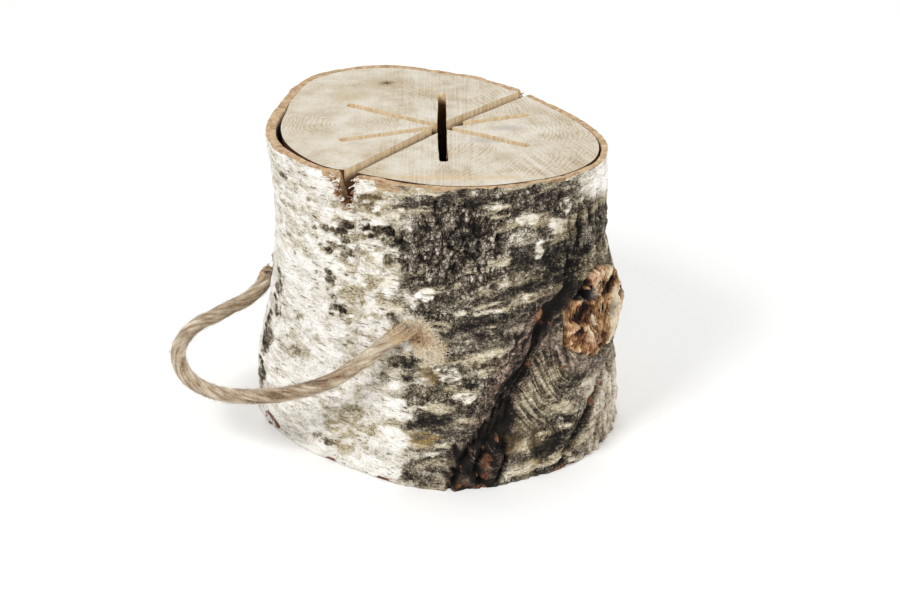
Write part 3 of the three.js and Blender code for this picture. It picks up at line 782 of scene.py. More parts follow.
def bark_looks(angle, z):
    """The bark's relief in millimetres, and the marks that its material reads."""
    grain = Grain(angle, z)
    edge, mottle, ragged = grain.edge, grain.mottle, grain.ragged
    tone, scab, lichen = cover_looks(angle, z, grain)
    relief, crack, crust, tone = crust_looks(angle, z, grain, tone, scab)
    deep, bundle, strands, flank, folded, crest, across = seam_looks(angle, z, grain.points)
    ridge, ribs, right_foot, foot_ribs = ribbed_looks(angle, z, grain)
    chipped, foot_chips, peeled = bare_looks(angle, z, grain)
    streak_off, _ = from_line(angle, z, SIDE_STREAK)
    streak = 1 - ease(streak_off + 2.4 * ragged, 1, 5)
    from_knot = knot_distance(angle, z)
    collar = np.exp(-(((from_knot - 1.1) / 0.14) ** 2)) * ease(KNOT_HEIGHT - z, -14, 10)
    brown = spots(angle, z, BROWN_SPOTS, edge) * (0.75 + 0.5 * mottle)
    brown = np.maximum(brown, 0.7 * np.maximum(flank, bundle) * ease(ragged + 0.5 * mottle, 0.5, 1.0))

    # The folds and the seam take the place of the crust's relief, and the rest is laid over it
    relief = relief * (1 - 0.7 * np.maximum(folded, bundle))
    relief += 1.4 * flank * (0.8 + 0.8 * ragged) - 4.2 * deep + 1.5 * bundle * strands
    relief += 0.9 * folded * (crest - 0.5) - 1.8 * streak
    relief += 3.0 * ridge * ribs + 1.4 * foot_ribs
    relief -= 8 * (1 - ease(from_knot, 0.80, 0.97))
    relief -= np.maximum(chipped, foot_chips) + 1.3 * peeled

    # Each of them draws the tone towards its own
    tone = tone + np.clip(flank + 0.8 * collar, 0, 1) * (0.50 - tone)
    tone = tone + 0.85 * right_foot * (0.335 - 0.38 * foot_ribs - tone)
    tone = tone + 0.75 * folded * (0.52 - 0.16 * crest - tone)
    tone = tone + 0.9 * bundle * (0.79 - 0.32 * np.clip(strands, -0.4, 1) - tone)
    tone = tone + 0.8 * ridge * (0.78 - 0.50 * ribs - tone)
    # The seam's gap and the splits at the foot (deep) are painted darker: painted shade in them.
    tone += 0.32 * deep + 0.35 * streak + 0.12 * bundle * (1 - deep)
    plain = 1 - np.maximum(np.maximum(folded, bundle), right_foot)
    marks = {
        "tone": np.clip(tone, 0, 1.1),
        "crack": np.clip(crack + deep * 0.5, 0, 1),
        "ochre": np.clip(spots(angle, z, OCHRE_SPOTS, edge), 0, 1),
        "olive": np.clip(lichen + 0.8 * folded + 0.6 * right_foot, 0, 1),
        "pink": np.clip(flank + bundle + 0.4 * right_foot + collar + 0.3 * scab, 0, 1),
        "inner": np.clip(np.maximum(brown, foot_chips) * (1 - 0.7 * deep), 0, 1),
        "rim": np.clip(np.maximum(chipped, peeled), 0, 1),
        "fold": folded,
        "crust": np.clip(crust * plain, 0, 1),
        "seam": np.clip(bundle + flank, 0, 1),
        "across": across,
        "inside": np.zeros(len(angle)),
    }
    return relief, marks


def bark_color(nodes, tone, fine, mid):
    """The bark's colours by its tone: its cover, lichen, torn flesh, yellow growth, inner bark and rim, with
    painted shade deeper down on the bare bark and on the inner face.
    """
    bark = nodes.ramp(tone, [
        (0.0, 247, 244, 239), (0.15, 233, 228, 218), (0.30, 205, 197, 181), (0.44, 162, 151, 131),
        (0.57, 114, 104, 89), (0.70, 72, 63, 53), (0.84, 34, 29, 24), (1.0, 12, 10, 8),
    ])
    lichen = nodes.ramp(tone, [
        (0.1, 230, 222, 202), (0.3, 199, 185, 153), (0.5, 146, 131, 101), (0.7, 86, 74, 55),
        (0.9, 32, 27, 20),
    ])
    bark = nodes.mix(nodes.math("MULTIPLY", nodes.mark("olive"), 0.75), bark, lichen)
    flesh = nodes.ramp(tone, [
        (0.1, 216, 200, 188), (0.3, 180, 160, 146), (0.5, 128, 108, 95), (0.7, 72, 58, 49),
        (0.9, 26, 21, 18),
    ])
    bark = nodes.mix(nodes.math("MULTIPLY", nodes.mark("pink"), 0.85), bark, flesh)
    growth = nodes.ramp(fine, [
        (0.25, 74, 58, 30), (0.45, 146, 116, 62), (0.6, 196, 172, 118), (0.75, 226, 212, 176),
    ])
    bark = nodes.mix(nodes.math("MULTIPLY", nodes.mark("ochre"), nodes.span(mid, 0.35, 0.65)), bark, growth)
    brown = nodes.ramp(nodes.noise((3, 3, 9), 5.0, 0.6, 0.8), [
        (0.2, 44, 25, 17), (0.42, 94, 57, 39), (0.58, 142, 96, 66), (0.75, 184, 142, 106),
    ])
    shown = nodes.span(nodes.plus(nodes.mark("inner"), (fine, 0.8)), 0.7, 1.0)
    color = nodes.mix(shown, bark, brown)
    tan = nodes.ramp(nodes.noise((4, 4, 1.2), 4.0, 0.6, 0.5), [
        (0.25, 128, 94, 62), (0.42, 172, 141, 104), (0.58, 194, 166, 131), (0.75, 212, 192, 162),
    ])
    up = nodes.along("Z")
    # Painted shade: bare bark is darker further below the top, down the inner face and deep in the notches.
    tan = nodes.mix(nodes.span(up, HEIGHT - 28, HEIGHT - 6), srgb(104, 66, 38), tan)
    # Painted shade: the inner face is near black just under the rim, in the gap between the bark and the
    # wood.
    shaded = nodes.math("MULTIPLY", nodes.mark("inside"), nodes.span(up, HEIGHT - 0.5, HEIGHT - 5))
    tan = nodes.mix(shaded, tan, srgb(34, 22, 14))
    bare = nodes.span(nodes.plus(nodes.mark("rim"), (fine, 0.3)), 0.55, 0.75)
    return nodes.mix(bare, color, tan)


def bark_material():
    """Birch bark: white paper with short dark pores, black broken crust, and tan inner bark."""
    nodes = Nodes("birch_bark")
    fine = nodes.noise((2.1, 2.1, 1.1), 4.0, 0.75)
    mid = nodes.noise((8, 8, 3), 4.0, 0.65)
    grit = nodes.noise((0.8, 0.8, 0.6), 2.0, 0.6)
    base = nodes.mark("tone")

    # Pores and peeled layers on the paper, and small plates in a net of cracks on the crust
    white = nodes.span(base, 0.5, 0.3)
    pores = nodes.span(nodes.noise((8, 8, 1.1), 2.0, 0.5), 0.63, 0.68)
    peel = nodes.math("MULTIPLY", nodes.span(nodes.noise((13, 13, 4.5), 4.0, 0.55), 0.50, 0.54), white)
    edge, own = nodes.cells((2.4, 2.4, 3.4), 0.9)
    net = nodes.math("MULTIPLY", nodes.span(edge, 0.0, 0.16, 1.0, 0.0), nodes.mark("crust"))
    own = nodes.math("MULTIPLY", nodes.math("SUBTRACT", own, 0.84), nodes.mark("crust"))

    # Folds that run round below the knot, and strands along the seam
    centre = on_trunk(np.array([ROUND]), np.array([KNOT_ANGLE]), np.array([FOLD_HEIGHT]))[0]
    off = nodes.vector("DISTANCE", nodes.place(), tuple(centre), output="Value")
    fold = nodes.math("SUBTRACT", nodes.streaks(off, 2.2, 3.0, 0.6), 0.5)
    fold = nodes.math("MULTIPLY", fold, nodes.mark("fold"))
    strand = nodes.math("SUBTRACT", nodes.streaks(nodes.mark("across"), 1.4, 4.0, 0.5), 0.46)
    strand = nodes.math("MULTIPLY", strand, nodes.mark("seam"))

    grain = nodes.plus(nodes.math("MULTIPLY", fine, 1.3), (grit, 0.9))
    grain = nodes.plus(grain, (mid, nodes.span(base, 0.2, 0.5, 0.45, 0.85)))
    grain = nodes.math("SUBTRACT", grain, nodes.span(base, 0.2, 0.5, 1.325, 1.525))
    tone = nodes.plus(base, (grain, nodes.span(base, 0.15, 0.5, 0.6, 0.85)))
    tone = nodes.math("MAXIMUM", tone, nodes.math("SUBTRACT", base, 0.26))
    tone = nodes.plus(tone, (nodes.math("MULTIPLY", pores, white), 0.34), (peel, -0.09), (net, 0.17))
    # The crack mark darkens the cracks and the seam's gap: painted shade in them.
    tone = nodes.plus(tone, (own, 0.3), (nodes.mark("crack"), 0.24), (fold, 1.5), (strand, 1.5))
    color = bark_color(nodes, tone, fine, mid)
    height = nodes.plus(fine, (grit, 0.7))
    height = nodes.math("MULTIPLY", height, nodes.math("MULTIPLY_ADD", base, 1.4, 0.2))
    height = nodes.plus(height, (pores, -0.3), (net, -1.2), (own, -0.8), (peel, 0.5))
    height = nodes.plus(height, (strand, -2.0), (fold, -2.0))
    roughness = nodes.span(base, 0.1, 0.7, 0.62, 0.9)
    return nodes.finish(color, roughness, height, 1.0, Specular_IOR_Level=0.3)


def add_bark(material):
    """The bark as one closed sleeve: outer face, sawn rim, inner face and foot."""
    front = np.linspace(-180, 0, FRONT_COLUMNS, endpoint=False)
    angles = np.concatenate([front, np.linspace(0, 180, BACK_COLUMNS, endpoint=False)])
    heights = np.linspace(INSIDE, HEIGHT - INSIDE, BARK_ROWS)
    outer = closed_over(cad_radius("bark", angles, heights, True), 3)
    inner_heights = np.linspace(HEIGHT - INSIDE, INSIDE, INNER_ROWS)
    inner = closed_over(cad_radius("bark", angles, inner_heights, False), 0)

    top = rim_height(angles)
    rise = np.linspace(0, 1, BARK_ROWS)[:, None] * top[None, :]
    wide = np.stack([np.interp(rise[:, k], heights, outer[:, k]) for k in range(BARK_COLUMNS)], axis=1)
    around = np.broadcast_to(angles, rise.shape)
    relief, marks = bark_looks(around.ravel(), rise.ravel())
    wide = wide + relief.reshape(rise.shape)
    radius, height = [wide], [rise]
    lip = rough_noise(on_trunk(ROUND, angles, 0 * angles), 3, 3, 44)
    for share in RIM_SHARES:
        radius.append(wide[-1:] * (1 - share) + inner[:1] * share)
        height.append((top + 0.35 * lip * math.cos(9 * share))[None, :])
    radius.append(inner)
    height.append(np.linspace(1, 0, INNER_ROWS)[:, None] * top[None, :])
    radius, height = np.vstack(radius), np.vstack(height)
    rest = len(radius) - BARK_ROWS
    marks = {name: np.concatenate([shown, np.zeros(rest * BARK_COLUMNS)]) for name, shown in marks.items()}
    marks["rim"][BARK_ROWS * BARK_COLUMNS:] = 1
    marks["inside"][-INNER_ROWS * BARK_COLUMNS:] = 1
    points = on_trunk(radius, np.broadcast_to(angles, radius.shape), height).reshape(-1, 3)
    faces = grid_faces(len(radius), BARK_COLUMNS, close_rows=True)
    bark = add_piece("bark_sleeve", points, faces, material, marks)
    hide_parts("bark")

    def column(angle):
        return np.searchsorted(angles, apart(angle, 0)) % BARK_COLUMNS

    def skin(angle, z):
        return np.interp(z, rise[:, column(angle)], wide[:, column(angle)])

    def rim(angle):
        return top[column(angle)]

    return skin, rim


# Sawn wood: the saw cuts as (angle, reach, width, depth), each run out from where they cross

CROSSING = (2.6, -2.0)
CUTS = [
    (90, 59, 6, 130), (-89, 58, 6, 130), (148, 73, 6, 130), (-31.5, 64, 6, 130), (199.7, 69, 6, 130),
    (20, 60, 6, 130), (-127.6, 140, 8.5, 24), (47.5, 140, 8.5, 24),
]
KERF_STEPS = 40  # along a cut
WOOD_COLUMNS = 240
WOOD_ROWS = 8
CUT_ROOM = 9.0  # beside the through cut and round the knot, where the solid isn't the plain trunk
KNOT_ROOM = 6.0
PITH = (-62.0, 4.0)
EYE = (-33.3, 76.6)
# Stains on the sawn top, as (centre, sizes, colour, share)
TOP_STAINS = [
    (EYE, (26, 20), (164, 142, 108), 0.65),
    (EYE, (8, 7), (120, 90, 62), 0.65),
    ((-57, 54), (20, 15), (172, 148, 98), 0.5),
    ((33, -24), (20, 8), (158, 152, 144), 0.5),
    ((45, -4), (16, 7), (150, 144, 138), 0.5),
    ((10, -84), (70, 6), (204, 172, 118), 0.5),
    ((-53, -77), (15, 10), (170, 122, 76), 0.8),
]
EYE_CHECKS = [(25, (7, 0.9)), (100, (5.5, 0.8)), (150, (5, 0.7))]  # as (lean, sizes)


def kerf_cutter(angle, reach, width, depth):
    """The room that the saw left: an upright slot with slightly uneven walls and a blunt end."""
    count = KERF_STEPS
    along = np.linspace(-1.5, reach, count)
    ahead, aside = (way[:2] for way in compass(angle))
    rows = []
    for side in (-1, 1):
        line = np.stack([along, np.full(count, 9.0 * side), np.full(count, float(angle))], axis=1)
        uneven = 0.35 * rough_noise(line, (9, 9, 1), 3, 61)
        half = (width / 2 + uneven) * (1 - 0.35 * ease(along, reach - 2.5, reach))
        flat = AXIS[:2] + np.array(CROSSING) + along[:, None] * ahead + side * half[:, None] * aside
        for z in (HEIGHT - depth, HEIGHT + 5):
            rows.append(np.column_stack([flat, np.full(count, z)]))
    low_right, high_right, low_left, high_left = rows
    points = np.concatenate([low_right, high_right, high_left, low_left])
    faces = [face[::-1] for face in grid_faces(4, count, close_rows=True, close_columns=False)]
    last = 4 * count - 1
    faces += [tuple(range(0, last, count)), tuple(range(last, 0, -count))]
    mesh = bpy.data.meshes.new("cutter")
    mesh.from_pydata((points * MM).tolist(), [], faces)
    cutter = bpy.data.objects.new("cutter", mesh)
    bpy.context.scene.collection.objects.link(cutter)
    tidy = bmesh.new()
    tidy.from_mesh(mesh)
    bmesh.ops.recalc_face_normals(tidy, faces=tidy.faces)
    tidy.to_mesh(mesh)
    tidy.free()
    return cutter


def carve(piece, cutters):
    """Takes the cutters' room out of a piece."""
    for cutter in cutters:
        cut = piece.modifiers.new("cut", "BOOLEAN")
        cut.object = cutter
        cut.solver = "EXACT"
    made = piece.evaluated_get(bpy.context.evaluated_depsgraph_get())
    piece.data = bpy.data.meshes.new_from_object(made)
    piece.modifiers.clear()
    for cutter in cutters:
        bpy.data.objects.remove(cutter)


def year_rings(nodes, place):
    """Faint rings round the pith, and others round the small eye of a knot."""
    warp = nodes.math("MULTIPLY_ADD", nodes.noise((26, 26, 200), 2.0), 16.0, -8.0)
    rings = nodes.waves(nodes.math("ADD", nodes.flat_distance(place, PITH), warp), 2.7)
    eye_warp = nodes.math("MULTIPLY_ADD", nodes.noise((9, 9, 200), 2.0), 6.0, -3.0)
    eye_rings = nodes.waves(nodes.math("ADD", nodes.flat_distance(place, EYE), eye_warp), 3.0)
    rings = nodes.blend(nodes.flat_spot(place, EYE, (28, 24)), rings, eye_rings)
    return nodes.math("MULTIPLY", rings, nodes.span(nodes.noise((28, 28, 28), 3.0), 0.35, 0.6))


def saw_lines(nodes, place):
    """Lines that the saw left: straight over the middle, slanted on the right, few on the left."""
    straight = nodes.noise((0.9, 50, 55), 4.0, 0.7)
    stretched = nodes.vector("MULTIPLY", nodes.turned(place, -24), (1 / 0.9, 1 / 60, 0.1))
    across = nodes.along("X")
    lines = nodes.blend(nodes.span(across, 10.0, 60.0), straight, nodes.noise_at(stretched, 4.0))
    shown = nodes.span(across, -70.0, 10.0, 0.2, 1.0)
    return nodes.math("MULTIPLY", nodes.math("SUBTRACT", lines, 0.5), shown)


def sawn_color(nodes, place, tone, broad):
    """The sawn top's colours by its tone, with its stains and the dark checks in the eye."""
    sawn = nodes.ramp(tone, [
        (0.28, 146, 124, 94), (0.46, 182, 167, 142), (0.58, 199, 189, 171), (0.74, 213, 207, 195),
    ])
    uneven = nodes.span(broad, 0.25, 0.6)
    for centre, sizes, color, share in TOP_STAINS:
        spot = nodes.math("MULTIPLY", nodes.flat_spot(place, centre, sizes), uneven)
        sawn = nodes.mix(nodes.math("MULTIPLY", spot, share), sawn, srgb(*color))
    from_eye = nodes.vector("SUBTRACT", place, (*EYE, 0))
    for lean, sizes in EYE_CHECKS:
        check = nodes.flat_spot(nodes.turned(from_eye, -lean), (0, 0), sizes)
        sawn = nodes.mix(check, sawn, srgb(66, 44, 28))
    return sawn


def wall_color(nodes, place, normal):
    """Striped walls of the cuts, with painted shade that darkens them further down, and the dark side that
    faces the bark.
    """
    wall = nodes.ramp(nodes.noise((1.6, 1.6, 45), 3.0, 0.6), [
        (0.3, 208, 178, 136), (0.46, 230, 205, 165), (0.62, 243, 225, 193),
    ])
    up = nodes.along("Z")
    # Painted shade: the walls turn brown a few millimetres below the top.
    wall = nodes.mix(nodes.span(up, HEIGHT - 9, HEIGHT - 3), srgb(122, 92, 59), wall)
    # Painted shade: deeper in the slots the walls go near black.
    wall = nodes.mix(nodes.span(up, HEIGHT - 62, HEIGHT - 24), srgb(20, 13, 8), wall)
    outward = nodes.vector("MULTIPLY", nodes.vector("SUBTRACT", place, tuple(AXIS)), (1, 1, 0))
    facing = nodes.vector("DOT_PRODUCT", normal, nodes.vector("NORMALIZE", outward), output="Value")
    return nodes.mix(nodes.span(facing, 0.5, 0.8), wall, srgb(78, 48, 28))


def wood_material():
    """Pale birch: faint rings and saw lines on the sawn face, tan striped walls in the cuts."""
    nodes = Nodes("sawn_birch")
    place = nodes.place()
    broad = nodes.noise((34, 34, 34), 4.0, 0.6)
    blotch = nodes.noise((11, 11, 11), 4.0, 0.65)
    fleck = nodes.noise((1.2, 1.2, 1.2), 4.0, 0.6)
    rings = year_rings(nodes, place)
    lines = saw_lines(nodes, place)
    tone = nodes.math("MULTIPLY_ADD", broad, 0.55, -0.02)
    tone = nodes.plus(tone, (rings, -0.12), (blotch, 0.4), (lines, 0.55), (fleck, 0.28))
    sawn = sawn_color(nodes, place, tone, broad)
    normal = nodes.node("NewGeometry", {}, "Normal")
    upright = nodes.node("SeparateXYZ", {0: normal}, "Z")
    color = nodes.mix(nodes.span(upright, 0.3, 0.7), wall_color(nodes, place, normal), sawn)
    return nodes.finish(color, 0.72, nodes.plus(lines, (fleck, 0.4)), 0.3, Specular_IOR_Level=0.3)


def add_wood(material):
    """The trunk's wood: a plain sawn round with the saw's slots cut into its top."""
    angles = np.linspace(-180, 180, WOOD_COLUMNS, endpoint=False)
    heights = np.linspace(INSIDE, HEIGHT - INSIDE, WOOD_ROWS)
    radius = cad_radius("wood_log", angles, heights, True)
    for at, *_ in NOTCHES:
        radius[:, np.abs(apart(angles, at)) * ARC < CUT_ROOM] = np.nan
    beside_knot = np.abs(apart(angles, KNOT_ANGLE)) * ARC < KNOT_RADIUS + KNOT_ROOM
    level_with_knot = np.abs(heights - KNOT_HEIGHT) < KNOT_RADIUS + KNOT_ROOM
    radius[np.ix_(level_with_knot, beside_knot)] = np.nan
    radius = closed_over(radius, 0)
    levels = np.linspace(0, HEIGHT, WOOD_ROWS)[:, None]
    points = on_trunk(radius, np.broadcast_to(angles, radius.shape), np.broadcast_to(levels, radius.shape))
    faces = grid_faces(WOOD_ROWS, WOOD_COLUMNS)
    faces.append(tuple(range(WOOD_COLUMNS))[::-1])
    faces.append(tuple(range((WOOD_ROWS - 1) * WOOD_COLUMNS, WOOD_ROWS * WOOD_COLUMNS)))
    wood = add_piece("sawn_wood", points.reshape(-1, 3), faces, material, smooth=False)
    carve(wood, [kerf_cutter(*cut) for cut in CUTS])
    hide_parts("wood_log")


# Branch knot

KNOT_RINGS = 80
KNOT_SPOKES = 170
SPLINTERS = 130
EDGE_CURLS = [(4, 5.0), (-2, 3.5), (-24, 6.0), (-27, 4.0)]  # as (up, length)
# Hollows, lumps and colours on its face, as (to the right, up, half width, half height, amount)
KNOT_HOLLOWS = [
    (-25, 30, 9, 13, 9.0), (14, -4, 5, 7, 7.0), (8, 16, 8, 7, 4.0), (-20, 5, 8, 11, 3.0),
    (2, -20, 4, 6, 4.0), (-8, 4, 3, 9, 4.0), (24, 2, 3, 5, 4.0), (-4, 22, 3, 5, 3.0),
]
KNOT_LUMPS = [
    (-19, 19, 8, 7, 3.0), (-27, -3, 7, 8, 3.0), (-13, -15, 9, 8, 3.0), (-4, -7, 3.5, 9, 2.5),
    (-10, 29, 8, 4, 2.0), (22, 16, 6, 6, 2.0),
]
# Pale splinters, and down the right side of the face (right near 18) a painted highlight.
KNOT_PALE_AND_HIGHLIGHT = [
    (-11, -3, 2.6, 10, 0.35), (18, 2, 6, 9, 0.46), (18, -14, 8, 11, 0.56), (18, -28, 13, 9, 0.56),
    (-12, 30, 8, 4, 0.2), (22, 16, 6, 6, 0.1), (-2, -14, 2.5, 8, 0.3),
]
# Darker places, mostly in the hollows, where they are painted shade.
KNOT_DARK_AND_SHADE = [
    (-24, 30, 9, 14, 0.7), (-20, 6, 9, 11, 0.22), (3, -22, 6, 6, 0.14), (7, 16, 10, 8, 0.48),
    (-24, -8, 6, 9, 0.2), (12, -4, 5, 6, 0.4), (0, 2, 3, 7, 0.3),
]
KNOT_GREY = [(-19, 19, 8, 7, 0.9), (-26, 30, 9, 13, 1.0), (7, 16, 9, 7, 0.8), (26, 4, 4, 5, 0.5)]
KNOT_RED = [
    (-20, 6, 9, 11, 0.8), (-13, -15, 10, 8, 0.7), (-27, -3, 7, 8, 0.7), (-10, 29, 9, 4, 0.6),
    (4, -22, 8, 7, 0.5), (22, 16, 6, 6, 0.5),
]


def knot_material():
    """Broken, weathered wood: golden brown with cream splinters and a painted highlight down its right side,
    grey crust, and pits painted black as shade.
    """
    nodes = Nodes("broken_knot")
    fibre = nodes.noise((1.2, 1.2, 6), 5.0, 0.75, 0.8)
    grit = nodes.noise((0.8, 0.8, 0.8), 3.0)
    tone = nodes.plus(nodes.math("ADD", nodes.mark("tone"), -0.65), (fibre, 1.3))
    color = nodes.ramp(tone, [
        (0.0, 14, 10, 7), (0.2, 64, 41, 26), (0.40, 134, 92, 56), (0.56, 188, 142, 94),
        (0.72, 222, 188, 144), (0.9, 250, 234, 206),
    ])
    flesh = nodes.ramp(tone, [
        (0.0, 14, 9, 7), (0.25, 72, 40, 28), (0.5, 148, 96, 68), (0.7, 200, 154, 122),
        (0.9, 238, 212, 186),
    ])
    color = nodes.mix(nodes.mark("red"), color, flesh)
    crust = nodes.ramp(tone, [(0.1, 16, 15, 14), (0.45, 84, 80, 78), (0.8, 172, 164, 152)])
    color = nodes.mix(nodes.mark("grey"), color, crust)
    return nodes.finish(color, 0.85, nodes.math("ADD", fibre, grit), 1.0, Specular_IOR_Level=0.25)


def knot_spots(a, b, places, edge):
    """The sum of patches on the knot's face."""
    total = np.zeros(len(a))
    for right, up, wide, tall, change in places:
        off = np.hypot((a - right) / wide, (b - up) / tall)
        total += change * (1 - ease(off + 0.35 * edge, 0.55, 1.15))
    return total


def add_knot(material):
    """The broken branch stub: splintered wood and pits in a rim that stands out of the bark."""
    face = cad_radius("wood_log", [KNOT_ANGLE], [KNOT_HEIGHT], True)[0, 0]
    share = np.linspace(0, 1, KNOT_RINGS)[:, None] ** 0.8
    turn = np.linspace(0, 2 * math.pi, KNOT_SPOKES, endpoint=False)[None, :]
    reach = KNOT_RADIUS * share * knot_reach(turn)
    a = (reach * np.cos(turn)).ravel() - KNOT_SHIFT[0]
    b = (KNOT_TALL * reach * np.sin(turn)).ravel() + KNOT_SHIFT[1]
    share = np.broadcast_to(share, reach.shape).ravel()
    flat = np.stack([a, b, 0 * a], axis=1)
    bent = flat + 4 * np.stack([noise(flat, 9, k) for k in (71, 72, 73)], axis=1)
    fibres = 1 - 2.4 * np.abs(noise(bent, (3.6, 22, 5), 74) + 0.4 * noise(bent, (1.8, 11, 5), 79))
    rough = rough_noise(bent, (6, 10, 6), 4, 76)
    fine = rough_noise(flat, (1.2, 4, 1.2), 3, 77)
    edge = noise(flat, 4, 75) + 0.5 * noise(flat, 1.8, 78)
    hollow = knot_spots(a, b, KNOT_HOLLOWS, edge)
    inward = 1 - ease(share, 0.80, 0.97)
    out = face - 1.5 + knot_spots(a, b, KNOT_LUMPS, edge) - hollow
    out += (1.9 * fibres + 1.6 * rough) * (0.3 + 0.7 * inward) + 0.7 * fine
    out -= 0.055 * np.clip(-a - 8, 0, None) ** 1.5 + 14 * ease(share, 0.88, 1.0)
    away, aside = compass(KNOT_ANGLE)
    points = AXIS + out[:, None] * away + a[:, None] * aside + np.outer(KNOT_HEIGHT + b, UP)
    worn = ease(share + 0.05 * rough, 0.84, 0.97)
    tone = 0.51 + 0.22 * fibres + 0.22 * rough + 0.2 * fine - 0.12 * worn
    # The hollows are painted darker still: painted shade.
    tone += knot_spots(a, b, KNOT_PALE_AND_HIGHLIGHT, edge) - knot_spots(a, b, KNOT_DARK_AND_SHADE, edge) - 0.09 * hollow
    red = np.clip(knot_spots(a, b, KNOT_RED, edge), 0, 1)
    grey = np.clip(knot_spots(a, b, KNOT_GREY, edge) + 0.5 * worn, 0, 1)
    faces = grid_faces(KNOT_RINGS, KNOT_SPOKES)
    add_piece("broken_knot", points, faces, material, {"tone": tone, "red": red, "grey": grey})

    def on_face(right, up, above):
        nearest = np.argmin((a - right) ** 2 + (b - up) ** 2)
        place = AXIS + (out[nearest] + above) * away + right * aside + (KNOT_HEIGHT + up) * UP
        return place, tone[nearest]

    return on_face


def add_splinters(on_face, material):
    """Torn splinters on the knot: short spikes up and down its face, and curls off its right edge."""
    draw = random.Random(17)
    spikes = Strands()
    for _ in range(SPLINTERS):
        far = 0.84 * KNOT_RADIUS * math.sqrt(draw.random())
        round_about = draw.uniform(0, 2 * math.pi)
        right, up = far * math.cos(round_about), far * math.sin(round_about)
        length = draw.uniform(4, 13)
        lean = draw.gauss(0, 0.16)
        lift = draw.uniform(0.2, 2.6)
        line = []
        tones = []
        for s in (-0.5, 0, 0.5):
            place, tone = on_face(right + lean * length * s, up + length * s, 0.1 + lift * (s + 0.5))
            line.append(place)
            tones.append(tone)
        tone = tones[1] + draw.uniform(-0.2, 0.25)
        spikes.add(line, draw.uniform(0.3, 0.6), 0.08, tone, 5, 0.5)
    for up, length in EDGE_CURLS:
        start, _ = on_face(0.86 * KNOT_RADIUS, up, -3.0)
        away = start - AXIS
        away = away * (1, 1, 0) / np.hypot(away[0], away[1])
        aside = np.array((-away[1], away[0], 0))
        turns = [1.4 * s for s in np.linspace(0, 1, 6)]
        line = [start + length * (math.sin(t) * (aside + 0.3 * away) - (1 - math.cos(t)) * UP) for t in turns]
        spikes.add(line, 0.7, 0.25, 0.35, 5, 0.6)
    return spikes.piece("knot_splinters", material, "wood")


# Frayed rope ends, as the angle and height of the staple, the way the rope points and the way it frays

FRONT_FRAY = (-103.0, 103.0, 41.0, -36.0)
BACK_FRAY = (168.0, 81.0, 168.0, 122.0)
FRAY_FIBRES = 1800
COVER_FIBRES = 160
PAST_STAPLE = 6.0


def curled_fibre(end, skin, draw):
    """One fibre of a tuft, as its line, its radii and its tone: brown inside, with a pale halo."""
    angle, high, heading, fray = end
    ahead, aside = (way[:2] for way in compass(fray))
    root = PAST_STAPLE * compass(heading)[0][:2]
    far, round_about = math.sqrt(draw.random()), draw.uniform(0, 2 * math.pi)
    start = 12 + 14 * far * math.cos(round_about)
    across = 7 * far * math.sin(round_about) + 2.5 * math.sin(start / 4) - 1
    length = draw.uniform(3, 8)
    turn = math.radians(fray) + draw.choice((0, math.pi)) + draw.gauss(0, 0.8)
    bend = draw.uniform(-2.6, 2.6)
    above = draw.uniform(0.4, 4.6) * (1.1 - far**2)
    lift = draw.uniform(-1.5, 2)
    flat = root + start * ahead + across * aside
    line = []
    for s in np.linspace(0, 1, 6):
        around = angle + math.degrees(flat[0] / skin(angle, high))
        z = high + flat[1]
        line.append(on_trunk(skin(around, z) + max(above + lift * s, 0.4), around, z))
        facing = turn + bend * s
        flat = flat + length / 5 * np.array((math.cos(facing), math.sin(facing)))
    heart = math.exp(-(((start - 9) / 4.5) ** 2) - ((across + 1) / 4) ** 2)
    heart += 0.7 * math.exp(-(((start - 22) / 4) ** 2) - ((across - 4) / 4) ** 2)
    clump = 0.2 * math.sin(1.3 * start) * math.cos(1.5 * across)
    return line, 0.26, 0.08, 1.15 - 0.85 * heart + clump + draw.uniform(-0.25, 0.1)


def cover_fibre(end, skin, draw):
    """One fibre that lies over the rope and its staple, as its line, its radii and its tone."""
    angle, high, heading, _ = end
    over = math.radians(heading)
    aside_by = draw.uniform(-5.5, 5.5)
    middle, half = draw.uniform(-3, 3), draw.uniform(4, 9)
    line = []
    for s in np.linspace(-1, 1, 7):
        along = middle + half * s
        x = along * math.cos(over) - aside_by * math.sin(over)
        z = high + along * math.sin(over) + aside_by * math.cos(over)
        around = angle + math.degrees(x / skin(angle, high))
        crown = ROPE_DIAMETER + 1.6 - 0.13 * aside_by**2 - 2.5 * s * s
        line.append(on_trunk(skin(angle, high) + crown + draw.uniform(-0.3, 0.3), around, z))
    return line, 0.22, 0.08, draw.uniform(0.5, 0.95)


def add_fray(name, node, end, skin, material, seed):
    """A teased-out rope end: a low tuft of curled fibres on the bark, and some over the staple."""
    draw = random.Random(seed)
    tuft = Strands()
    for _ in range(FRAY_FIBRES):
        tuft.add(*curled_fibre(end, skin, draw))
    for _ in range(COVER_FIBRES):
        tuft.add(*cover_fibre(end, skin, draw))
    piece = tuft.piece(name, material, "rope")
    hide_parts(node)
    return piece


# Torn bark at the saw's way out, and staples

NOTCH_CURLS = (110, 40)  # at the front notch and at the back one
RIM_CURLS = 60


def curl_material():
    """Papery torn bark: white outside and red-brown where it has split."""
    nodes = Nodes("torn_bark")
    streak = nodes.noise((2, 2, 1), 4.0, 0.6)
    tone = nodes.plus(nodes.math("ADD", nodes.mark("tone"), -0.25), (streak, 0.5))
    color = nodes.ramp(tone, [
        (0.1, 82, 44, 26), (0.35, 156, 102, 66), (0.6, 214, 184, 152), (0.85, 246, 240, 232),
    ])
    return nodes.finish(color, 0.7, streak, 0.3, Specular_IOR_Level=0.3)


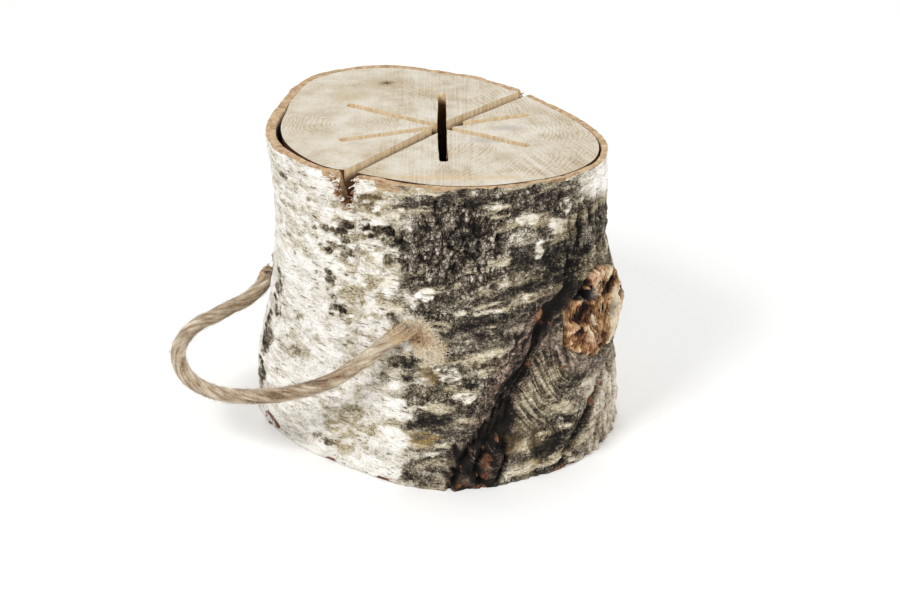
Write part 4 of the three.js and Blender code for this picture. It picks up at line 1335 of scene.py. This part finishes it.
def add_curls(skin, rim, material):
    """Thin torn strips of bark that curl out of the notches and off the rim."""
    draw = random.Random(11)
    curls = Strands()
    places = []
    for (at, _, floor, mouth), count in zip(NOTCHES, NOTCH_CURLS):
        for _ in range(count):
            off = draw.uniform(floor, mouth) * draw.choice((-1, -1, 1))
            places.append((at + off / ARC, 1.0))
    places += [(draw.uniform(-180, 180), 0.5) for _ in range(RIM_CURLS)]
    for angle, scale in places:
        high = rim(angle) - draw.uniform(0, 2.5)
        away, left = compass(angle)
        aside = left * draw.choice((-1, 1))
        start = on_trunk(skin(angle, high) - draw.uniform(0.2, 2.5), angle, high)
        length = scale * draw.uniform(2.5, 10)
        bend = draw.uniform(1.0, 3.6)
        tilt = draw.uniform(-1.0, 1.0)
        rise = draw.uniform(-0.5, 0.5)
        line = []
        for s in np.linspace(0, 1, 7):
            swing = bend * s
            lift = math.sin(swing) / bend
            out = (1 - math.cos(swing)) / bend
            line.append(start + length * (0.8 * out * away + lift * (tilt * aside + rise * UP)))
        curls.add(line, scale * draw.uniform(0.5, 1.5), 0.25, draw.uniform(0.2, 1.1), 6, 0.2)
    return curls.piece("torn_bark", material, "bark")


def steel_material():
    """Dull staple wire with specks of rust."""
    nodes = Nodes("staple_wire")
    rust = nodes.noise((1.2, 1.2, 1.2), 4.0)
    color = nodes.mix(nodes.span(rust, 0.4, 0.6), srgb(168, 154, 132), srgb(128, 98, 72))
    return nodes.finish(color, 0.6, rust, 0.08, Metallic=0.3)


def dress_staples(material):
    """The staples keep their solids' shape and take a wire's look."""
    for name in ("staple_front", "staple_back"):
        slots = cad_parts[name].data.materials
        slots.clear()
        slots.append(material)


add_camera()
jute = jute_material("jute", ROPE_COLORS)
loose_jute = jute_material("loose_jute", FRAY_COLORS)
rope, rope_path, rope_length = add_rope(jute)
rope_fuzz = add_fuzz(rope_path, jute)
bark_skin, bark_rim = add_bark(bark_material())
frays = [
    add_fray("fray_front", "frayed_end_front", FRONT_FRAY, bark_skin, loose_jute, 3),
    add_fray("fray_back", "frayed_end_back", BACK_FRAY, bark_skin, loose_jute, 4),
]
add_wood(wood_material())
knot_look = knot_material()
add_splinters(add_knot(knot_look), knot_look)
add_curls(bark_skin, bark_rim, curl_material())
dress_staples(steel_material())
add_studio()
